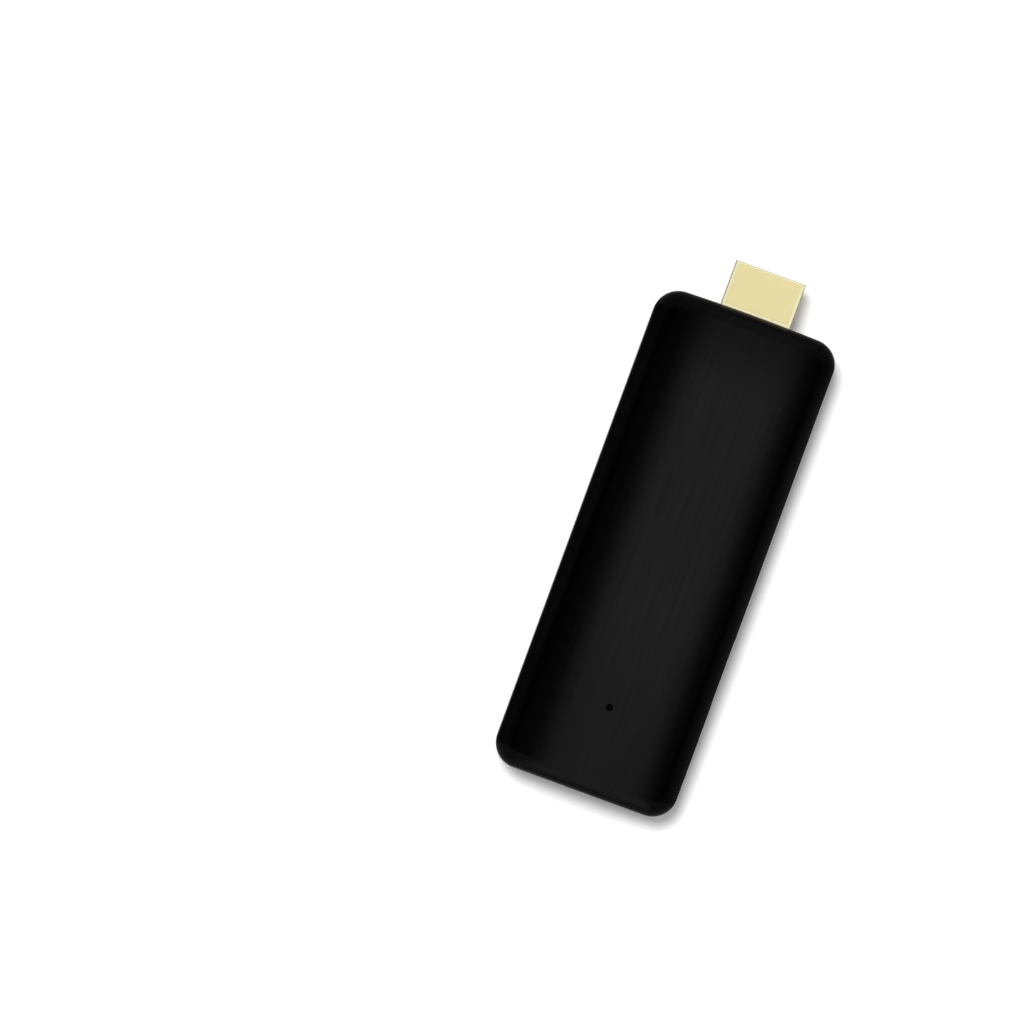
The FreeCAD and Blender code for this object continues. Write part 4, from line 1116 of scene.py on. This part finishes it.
@dataclass
class Openings:
    """Ribs and bosses inside the covers, and the spaces that sockets and holes take through the walls."""

    plug: Section
    plug_depth: float = 3.1
    plug_gap: float = 0.12
    plug_mouth: Triple = (0.1, 0.05, 0.1)
    data: Hole = Hole(Face.RIGHT, rectangle((-17.35, 5.9), (13.4, 6.02), 0.85, 8), depth=6.0)
    power: Hole = Hole(
        Face.RIGHT, polygon(tapered(-34.65, 3.75, 2.8, 9.0, 7.5, STICK.seam), 0.4), depth=7.0, gap=0.15
    )
    power_room: tuple[Triple, Triple] = ((13.0, -38.55, 5.2), (17.3, -30.75, 7.0))
    power_rim: tuple[Triple, Triple] = ((13.0, -38.55, 6.25), (19.0, -30.75, 7.4))
    switch_room: tuple[Triple, Triple] = ((-17.4, -22.75, 3.6), (-12.0, -17.55, 5.7))
    light: Hole = Hole(
        Face.TOP, circle((0.0, STICK.light_y), 48), depth=3.0, gap=0.65, mouth=(0.04, 0.1, 0.14)
    )
    window: Hole = Hole(
        Face.TAIL, rectangle((0.0, STICK.window_z), (9.12, 2.32), 0.3), depth=2.0, mouth=(0.11, 0.22, 0.33)
    )
    label: Hole = Hole(
        Face.UNDER, rectangle(STICK.label_centre, (24.0, 26.0), 1.2, 8), depth=0.2, mouth=(0.2, PAST, 0.0)
    )
    slot: Hole = Hole(Face.LEFT, rectangle((-32.45, 4.45), (11.4, 1.2), 0.15), depth=2.2)
    pinhole: Hole = Hole(Face.LEFT, circle((-20.15, 4.65)), depth=2.4, gap=0.6)
    scoop_centre: Triple = (-19.5, -32.45, 4.45)
    scoop_radius: float = 2.0
    scoop_half: float = 3.25
    scoop_steps: int = 12
    vent_columns: Pair = (-6.0, 6.0)
    vent_size: Pair = (9.0, 1.2)
    vent_radius: float = 0.59
    vent_start: float = -23.65
    vent_pitch: float = 2.6
    vent_count: int = 8
    vent_steps: int = 8
    vent_mouth: Triple = (0.2, 0.2, 0.4)
    boss_x: float = 13.1
    boss_y: Pair = (37.15, -42.15)
    boss: tuple[float, Pair, int] = (2.1, (0.75, 5.4), 40)
    pilot: tuple[float, Pair, int] = (0.88, (2.0, 6.4), 24)
    housing_half: float = 8.5
    front_rib: Triple = (1.6, 44.61, 46.5)
    rear_rib: Triple = (1.1, 39.64, 41.24)
    plug_rib_foot: float = 0.75
    plug_rib_tops: Triple = (5.3, 10.5, 11.4)
    hold_down: Triple = (6.3, 9.2, 11.8)
    hold_down_half: float = 0.5
    hold_down_y: Pair = (33.25, 12.15)
    snap_y: Pair = (33.65, 13.65)
    snap_x: float = 9.0
    snap_half: float = 3.0
    snap_heights: Pair = (5.49, 5.99)
    snap_face: float = 0.8
    snap_reach: Pair = (0.3, 0.2)
    snap_gap: float = 0.08

    def sockets(self) -> Solids:
        """Cutters for the two sockets and the plug, which cross the seam."""
        plug = Hole(Face.FRONT, self.plug, self.plug_depth, self.plug_gap, self.plug_mouth)
        return [hole.cutter() for hole in (self.data, self.power, plug)]

    def plug_ribs(self, low: float, front_high: float, rear_high: float) -> Solids:
        """Ribs before and behind the plug's housing.

        Args:
            low: their lowest height.
            front_high: the highest height of those before it.
            rear_high: the highest height of those behind it.

        Returns:
            The four ribs.
        """
        made = []
        for sign in SIDES:
            outer = STICK.plug_middle + sign * self.housing_half
            for (wide, near, far), high in ((self.front_rib, front_high), (self.rear_rib, rear_high)):
                made.append(slab((outer, near, low), (outer - sign * wide, far, high)))
        return made

    def snaps(self, gap: float) -> Solids:
        """The small ridges that click the covers together.

        Args:
            gap: how much larger they are made.

        Returns:
            The ridges.
        """
        half, out, back = self.snap_half + gap, self.snap_reach[0] + gap, self.snap_reach[1]
        low, high = self.snap_heights[0] - gap, self.snap_heights[1] + gap
        side, tail = STICK.side - self.snap_face, self.snap_face - STICK.front
        made = []
        for sign in SIDES:
            outer, inner, x = sign * (side + out), sign * (side - back), sign * self.snap_x
            made += [slab((outer, y - half, low), (inner, y + half, high)) for y in self.snap_y]
            made.append(slab((x - half, tail - out, low), (x + half, tail + back, high)))
        return made

    def posts(self, radius: float, heights: Pair, steps: int) -> Solids:
        """A round post at each screw."""
        places = [(sign * self.boss_x, y) for sign in SIDES for y in self.boss_y]
        return [sweep("post", circle(place, steps), [(z, radius) for z in heights]) for place in places]

    def upper_ribs(self) -> Solids:
        """What is added inside the upper cover: two hold-down ribs, the plug's ribs and the snaps.

        Returns:
            The solids.
        """
        (wide, low, high), half = self.hold_down, self.hold_down_half
        made = [slab((-wide, y - half, low), (wide, y + half, high)) for y in self.hold_down_y]
        return made + self.plug_ribs(STICK.seam, *self.plug_rib_tops[1:]) + self.snaps(0.0)

    def upper_cuts(self) -> Solids:
        """What is cut from the upper cover."""
        holes = [hole.cutter() for hole in (self.light, self.window)]
        return self.sockets() + holes + [slab(*room) for room in (self.power_room, self.switch_room)]

    def lower_ribs(self) -> Solids:
        """What is added inside the lower cover: four screw bosses and the plug's ribs."""
        bosses, top = self.posts(*self.boss), self.plug_rib_tops[0]
        return bosses + self.plug_ribs(self.plug_rib_foot, top, top)

    def vents(self) -> Solids:
        """Cutters for two columns of vent slots, which widen downwards.

        Returns:
            The cutters.
        """
        rows = [self.vent_start + i * self.vent_pitch for i in range(self.vent_count)]
        places = [(x, y) for x in self.vent_columns for y in rows]
        slots = [rectangle(place, self.vent_size, self.vent_radius, self.vent_steps) for place in places]
        depth = STICK.wall + PAST
        return [Hole(Face.UNDER, slot, depth, mouth=self.vent_mouth).cutter() for slot in slots]

    def scoop(self) -> Piece:
        """A cutter for the card slot's finger scoop: a round bar with a ball on each end.

        Returns:
            The cutter.
        """
        (x, y, z), radius = self.scoop_centre, self.scoop_radius
        ends = rounding((y + self.scoop_half, 0.0), (radius, radius), (0, RIGHT_ANGLE), self.scoop_steps)
        starts = [(2 * y - along, growth) for along, growth in ends[::-1]]
        return sweep("cutter", circle((x, z), 4 * self.scoop_steps), starts + ends, Axis.Y)

    def lower_cuts(self) -> Solids:
        """What is cut from the lower cover.

        Returns:
            The cutters.
        """
        joints = self.sockets() + self.snaps(self.snap_gap) + self.posts(*self.pilot)
        holes = [hole.cutter() for hole in (self.label, self.slot, self.pinhole)]
        return joints + self.vents() + holes + [self.scoop(), slab(*self.power_rim)]


@dataclass
class VideoPlug:
    """The gold plug: its formed shell is drawn anew with a rounded mouth, a seam and its windows."""

    centre_z: float = 5.9
    width: float = 13.9
    narrow: float = 10.2
    height: float = 4.45
    straight: float = 2.35
    corner: float = 0.18
    corner_steps: int = 8
    side_pieces: float = 0.7
    length_pieces: int = 24
    mouth_steps: int = 8
    sheet: float = 0.3
    window: Pair = (2.2, 1.4)
    window_radius: float = 0.2
    window_x: float = 2.9
    window_from_tip: float = 5.7
    seam_width: float = 0.07
    seam_depth: float = 0.12
    tab: Triple = (5.8, 7.1, 3.0)
    tab_overlap: float = 0.45

    def section(self) -> Section:
        """The plug's cross-section: wide and straight above, drawn in below.

        Returns:
            The outline.
        """
        top, foot = self.centre_z + self.height / 2, self.centre_z - self.height / 2
        halves = self.width / 2, self.narrow / 2
        corners = tapered(STICK.plug_middle, *halves, top, top - self.straight, foot)
        return polygon(corners, self.corner, self.corner_steps, self.side_pieces)

    def build(self) -> None:
        """Carries the section along Y, out along the sheet's outside and back along its inside."""
        middle, rear, tip = STICK.plug_middle, STICK.plug_rear, STICK.plug_tip
        half = self.sheet / 2
        mouth = rounding((tip - half, -half), (half, half), (0, math.pi), self.mouth_steps)
        outside = [(y, 0.0) for y in np.linspace(rear, tip - half, self.length_pieces, endpoint=False)]
        inside = [(y, -self.sheet) for y, growth in outside[::-1]]
        shell = sweep("plug_shell", self.section(), outside + mouth + inside, Axis.Y, Ends.JOINED)
        bottom = self.centre_z - self.height / 2
        through = [(bottom - PAST, 0.0), (bottom + self.sheet + half, 0.0)]
        cuts, tabs = [], []
        for sign in SIDES:
            centre = (middle + sign * self.window_x, tip - self.window_from_tip)
            cuts.append(sweep("cutter", rectangle(centre, self.window, self.window_radius), through))
            edge = middle + sign * self.width / 2
            low, high, length = self.tab
            inner = (edge - sign * self.sheet, rear + self.tab_overlap, high)
            tabs.append(slab((edge, rear - length, low), inner))
        groove, top = self.seam_width / 2, bottom + self.seam_depth
        cuts.append(slab((middle - groove, rear - PAST, bottom - PAST), (middle + groove, tip + PAST, top)))
        join_all(shell, cuts, Cut.REMOVE)
        join_all(shell, tabs, Cut.ADD)
        finish_piece(shell, PLUG_GOLD, "hdmi_plug_shell")

    def dress(self) -> None:
        """Finishes the plug's CAD nodes."""
        dress(CONNECTOR_BLACK, "hdmi_plug_insulator")
        dress(CONTACT_GOLD, "hdmi_plug_contacts")
        dress(HOUSING_BLACK, "hdmi_plug_housing")


@dataclass
class UndersideLabel:
    """The blank label under the case."""

    size: Pair = (23.8, 25.8)
    radius: float = 1.1
    corner_steps: int = 10
    top: float = 0.2
    low: float = 0.05
    edge: tuple[Pair, ...] = ((0.05, 0.0), (0.02, -0.012), (0.0, -0.05))

    def build(self) -> None:
        """Carries the label's rounded outline through its thickness, with its lower edge rounded."""
        stations = [(self.top, 0.0)] + [(self.low + above, growth) for above, growth in self.edge]
        outline = rectangle(STICK.label_centre, self.size, self.radius, self.corner_steps)
        label = sweep("label", outline, stations)
        finish_piece(label, LABEL, "underside_label")


@dataclass
class LightAndWindow:
    """The status light with its pipe, and the infrared receiver behind its window."""

    pipe_radius: float = 0.6
    pipe_heights: Pair = (7.4, 12.1)
    pipe_dome: float = 0.25
    dome_steps: int = 8
    pipe_break: float = 0.05
    flange: Triple = (1.3, 10.46, 11.06)
    flange_break: float = 0.06
    window_size: Pair = (9.0, 2.2)
    window_radius: float = 0.25
    window_y: Pair = (-47.55, -45.55)
    window_edge: tuple[Pair, ...] = ((0.0, -0.14), (0.04, -0.05), (0.14, 0.0))
    window_flange: Pair = (10.6, 2.18)
    window_flange_y: float = -46.09
    window_flange_radius: float = 0.1

    def build_pipe(self) -> None:
        """Turns the pipe's outline round its axis."""
        radius, small, edge = self.pipe_radius, self.pipe_break, self.flange_break
        (foot, head), (wide, low, high) = self.pipe_heights, self.flange
        stem = [(foot, 0.0), (foot, radius - small), (foot + small, radius), (low, radius)]
        rim = [(low, wide - edge), (low + edge, wide), (high - edge, wide), (high, wide - edge)]
        bulge = self.pipe_dome
        dome = rounding((head - bulge, 0.0), (bulge, radius), (0, RIGHT_ANGLE), self.dome_steps)
        pipe = sweep("light_pipe", circle((0.0, STICK.light_y)), [*stem, *rim, (high, radius), *dome])
        finish_piece(pipe, PIPE_RESIN, "status_light_pipe")

    def build_window(self) -> None:
        """Carries the window's outline through the wall, and adds the flange that holds it inside."""
        near, far = self.window_y
        centre = (0.0, STICK.window_z)
        stations = [(near + behind, growth) for behind, growth in self.window_edge] + [(far, 0.0)]
        outline = rectangle(centre, self.window_size, self.window_radius)
        plate = sweep("ir_window", outline, stations, Axis.Y)
        flange = rectangle(centre, self.window_flange, self.window_flange_radius)
        stations = [(self.window_flange_y, 0.0), (far, 0.0)]
        join_all(plate, [sweep("flange", flange, stations, Axis.Y)], Cut.ADD)
        finish_piece(plate, WINDOW_RESIN, "infrared_window")

    def dress(self) -> None:
        """Finishes the CAD nodes behind them."""
        dress(LAMP, "status_light")
        dress(EYE_RESIN, "infrared_receiver")


@dataclass
class SliderSpring:
    """The card slider's return spring, drawn at one length; the real one shortens towards its stop as the
    slider goes in.
    """

    start: float = -6.4
    end: float = -2.1
    centre: Pair = (-25.95, 4.46)
    radius: float = 0.36
    wire: float = 0.07
    turns: int = 7
    steps: int = 24
    sides: int = 10
    stop: float = -2.0
    travel: float = 2.6

    def build(self) -> None:
        """Carries the wire's circle along a helix.

        At the angle t the wire's middle is the start plus the length times t over the whole angle in x,
        the centre plus the radius times the sine of t in y, and the centre less the radius times the
        cosine in z. A point is that plus the wire's radius times the cosine of a along the direction from
        the axis, and times the sine of a along the direction square to it and to the wire.
        """
        whole = 2 * np.pi * self.turns
        t = np.linspace(0, whole, self.turns * self.steps + 1)
        slope = (self.end - self.start) / whole
        away = np.stack([0 * t, np.sin(t), -np.cos(t)], 1)
        along = np.stack([0 * t + slope, self.radius * np.cos(t), self.radius * np.sin(t)], 1)
        along /= np.linalg.norm(along, axis=1)[:, None]
        middle = np.array([self.start, *self.centre]) + self.radius * away
        middle[:, 0] += slope * t
        turn = turning(0, 2 * np.pi, self.sides)[None, :, :, None]
        across = np.stack([away, np.cross(along, away)], 1)[:, None]
        rows = middle[:, None] + self.wire * np.sum(turn * across, 2)
        spring = skin("slider_spring", rows)
        finish_piece(spring, SPRING_STEEL, "card_slider_spring")
        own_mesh(spring)


@dataclass
class SnapDome:
    """The reset switch's snap dome, a bowed strip drawn in one shape; the real one flattens towards its feet
    as the button goes in.
    """

    feet: float = -14.12
    middle: float = -20.15
    half_width: float = 1.1
    rise: float = 0.44
    thickness: float = 0.08
    height: Pair = (4.3, 5.0)
    steps: int = 32
    back: float = -14.1
    travel: float = 0.25

    def build(self) -> None:
        """Carries the strip's end along an arc.

        At y from the middle the strip's back lies at the feet plus the radius less the rise, less the
        root of the radius squared less y squared.
        """
        radius = arc_radius(self.half_width, self.rise)
        y = np.linspace(-self.half_width, self.half_width, self.steps + 1)
        back = self.feet + radius - self.rise - np.sqrt(radius**2 - y**2)
        (low, high), front = self.height, -self.thickness
        corners = ((0.0, low), (front, low), (front, high), (0.0, high))
        rows = [np.stack([back + shift, self.middle + y, np.full_like(y, z)], 1) for shift, z in corners]
        dome = skin("switch_dome", np.stack(rows, 1))
        finish_piece(dome, SPRING_STEEL, "reset_switch_dome")
        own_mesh(dome)


class Sockets:
    """The data, power and card sockets and the reset switch, whose CAD nodes stay."""

    def dress(self) -> None:
        """Finishes the nodes."""
        dress(SOCKET_STEEL, "usb_socket_shell", "power_socket_shell", "card_socket_cover")
        dress(SOCKET_STEEL, "reset_switch_frame")
        dress(CONNECTOR_BLACK, "usb_socket_tongue", "power_socket_tongue", "card_socket_base")
        dress(CONNECTOR_BLACK, "reset_switch_body")
        dress(CONTACT_GOLD, "usb_socket_contacts", "power_socket_contacts", "card_socket_contacts")
        dress(HOUSING_BLACK, "card_slider", "reset_switch_button")
        dress(SPRING_STEEL, "card_latch_pin")


class BoardParts:
    """The main board and what is soldered, screwed or laid on it, whose CAD nodes stay."""

    def dress(self) -> None:
        """Finishes the nodes."""
        dress(BOARD, "main_board", "wifi_module")
        dress(SCREW_STEEL, "board_screws")
        dress(CHIP_BLACK, "processor", "memory_chips", "flash_chip", "voltage_regulators")
        dress(PAD, "thermal_pads")
        dress(SPREADER_METAL, "heat_spreader")
        dress(CRYSTAL_CAN, "clock_crystal")
        dress(FERRITE, "power_inductors")
        dress(CAPACITOR, "capacitors")
        dress(SOCKET_STEEL, "wifi_shield_can")
        dress(ANTENNA, "wifi_antenna")


@dataclass
class Studio:
    """The pale floor, the soft light and the camera."""

    white: float = 1.29
    floor_bounce: float = 0.8
    floor_size: float = 6000.0
    floor_sides: int = 64
    floor_height: float = -0.02
    paper_spots: float = 40.0
    paper_share: float = 0.02
    paper_grey: float = 0.9
    ambient: float = 0.414
    key_irradiance: float = 0.61
    key_tilt: float = 18.3
    key_angle: float = 20.5
    key_heading: float = 135.0
    lift_irradiance: float = 0.5
    lift_tilt: float = 180.0
    lift_angle: float = 60.0
    strip_left: Pair = (-0.22, -0.09)
    strip_right: Pair = (0.285, 0.205)
    strip_low: float = 0.3
    strip_rise: Pair = (-0.2, 0.6)
    strip_front: float = 0.3
    strip_front_fade: Pair = (0.1, 0.5)
    left_low: float = 0.5
    left_rise: Pair = (-0.1, 0.1)
    right: Triple = (0.25, 0.4, 1.1)
    left: Triple = (0.12, -0.35, -0.8)
    ends: Triple = (0.3, 0.15, 0.4)
    under: Triple = (0.8, -0.84, -0.97)
    lens: float = 300.0
    sensor: float = 36.0
    view_width: float = 192.5
    view_height: float = 8.0
    view_middle: Pair = (-29.77, -2.64)
    roll: float = 20.15

    @staticmethod
    def rays(bench: Bench, *kinds: str) -> Shade:
        """1 for rays of any of these kinds, else 0."""
        return reduce(Shade.larger, [bench.add("ShaderNodeLightPath", output=kind) for kind in kinds])

    def build_floor(self) -> None:
        """A wide sheet whose colour is white where it is seen.

        From below it is clear, so that the underside can be looked at, and it throws no shadow up
        onto the stick.
        """
        ring = turning(0, 2 * np.pi, self.floor_sides) * self.floor_size / 2
        mesh = bpy.data.meshes.new("floor")
        mesh.from_pydata(np.insert(ring, 2, self.floor_height, 1) * MM, [], [list(range(len(ring)))])
        floor = link("floor", mesh)
        material = bpy.data.materials.new("floor_white")
        material.use_nodes = True
        bench = Bench(material.node_tree)
        seen = self.rays(bench, "Is Camera Ray", "Is Glossy Ray", "Is Transmission Ray")
        levels = (self.floor_bounce, self.white, self.paper_grey)
        bounce, white, grey = (times(EVEN, level) for level in levels)
        paper = self.paper_share * bench.noise(bench.place(), self.paper_spots)
        colour = bench.blend(paper, bench.blend(seen, bounce, white), grey)
        paper_sheet = bench.add("ShaderNodeBsdfDiffuse", inputs={"Color": colour})
        clear = bench.add("ShaderNodeBsdfTransparent")
        behind = bench.add("ShaderNodeNewGeometry", output="Backfacing")
        mixed = bench.add("ShaderNodeMixShader", inputs={0: behind, 1: paper_sheet, 2: clear})
        bench.add("ShaderNodeOutputMaterial", inputs={"Surface": mixed})
        floor.data.materials.append(material)
        floor.visible_glossy = False
        floor.visible_shadow = False

    def reflected(self, bench: Bench) -> Shade:
        """How bright each direction is for gloss and metal, which see the studio round the white floor.

        A soft light strip hangs lengthwise over the stick, where a direction's x lies between the
        strip's edges, and it weakens lower down and towards the front. Straight to the right and the
        left the studio is dark and turns grey farther out. Towards both ends it is grey, and
        straight below the floor makes it pale.

        Each of these greys has its brightness and the two places that it fades in between.

        Args:
            bench: the world's bench.

        Returns:
            The strength, where 1 is white.
        """
        x, y, z = bench.split(bench.add("ShaderNodeTexCoord", output="Generated"))
        strip = x.ramp(*self.strip_left) * x.ramp(*self.strip_right)
        strip = strip * (self.strip_low + (1.0 - self.strip_low) * z.ramp(*self.strip_rise))
        strip = strip * (1.0 - self.strip_front * y.ramp(*self.strip_front_fade))
        greys = ((x, self.left), (x, self.right), (abs(y), self.ends), (z, self.under))
        left, *others = (grey * along.ramp(low, high) for along, (grey, low, high) in greys)
        left = left * (self.left_low + (1.0 - self.left_low) * z.ramp(*self.left_rise))
        return reduce(Shade.larger, others, strip.larger(left))

    def build_world(self) -> None:
        """A white backdrop where it is seen, the studio for gloss, and a low even light elsewhere."""
        world = bpy.data.worlds.new("backdrop")
        world.use_nodes = True
        bench = Bench(world.node_tree)
        gloss = self.rays(bench, "Is Glossy Ray")
        direct = self.rays(bench, "Is Camera Ray", "Is Transmission Ray")
        light = (1.0 - direct) * (1.0 - gloss) * self.ambient
        strength = direct + gloss * self.reflected(bench) + light
        sky = bench.add("ShaderNodeBackground", inputs={"Color": (*EVEN, 1.0), "Strength": strength})
        bench.add("ShaderNodeOutputWorld", inputs={"Surface": sky})
        bpy.context.scene.world = world

    def build_lamps(self) -> None:
        """A soft key light from above the upper left, and a low light from below."""
        for name, irradiance, tilt, angle in (
            ("key", self.key_irradiance, self.key_tilt, self.key_angle),
            ("lift", self.lift_irradiance, self.lift_tilt, self.lift_angle),
        ):
            light = bpy.data.lights.new(name, "SUN")
            light.energy = irradiance * math.pi
            light.angle = math.radians(angle)
            lamp = link(name, light)
            lamp.rotation_euler = (0.0, math.radians(tilt), math.radians(self.key_heading))
            lamp.visible_glossy = False

    def build_camera(self) -> None:
        """A long lens straight above, turned so that the stick leans as in the photograph."""
        data = bpy.data.cameras.new("camera")
        data.lens = self.lens
        data.sensor_width = self.sensor
        camera = link("camera", data)
        distance = self.view_width * self.lens / self.sensor
        camera.location = np.array([*self.view_middle, self.view_height + distance]) * MM
        camera.rotation_euler = (0.0, 0.0, math.radians(self.roll))
        bpy.context.scene.camera = camera

    def build(self) -> None:
        """Builds the stage."""
        self.build_floor()
        self.build_world()
        self.build_lamps()
        self.build_camera()
        bpy.context.scene.view_settings.view_transform = "Standard"


def main() -> None:
    """Builds the stage and each sub-assembly in order."""
    logging.basicConfig(level=logging.INFO, format="%(name)s: %(message)s")
    Studio().build()
    plug = VideoPlug()
    Case().build(Openings(plug.section()))
    plug.build()
    plug.dress()
    UndersideLabel().build()
    lights = LightAndWindow()
    lights.build_pipe()
    lights.build_window()
    lights.dress()
    SliderSpring().build()
    SnapDome().build()
    Sockets().dress()
    BoardParts().dress()


if __name__ == "__main__":
    main()
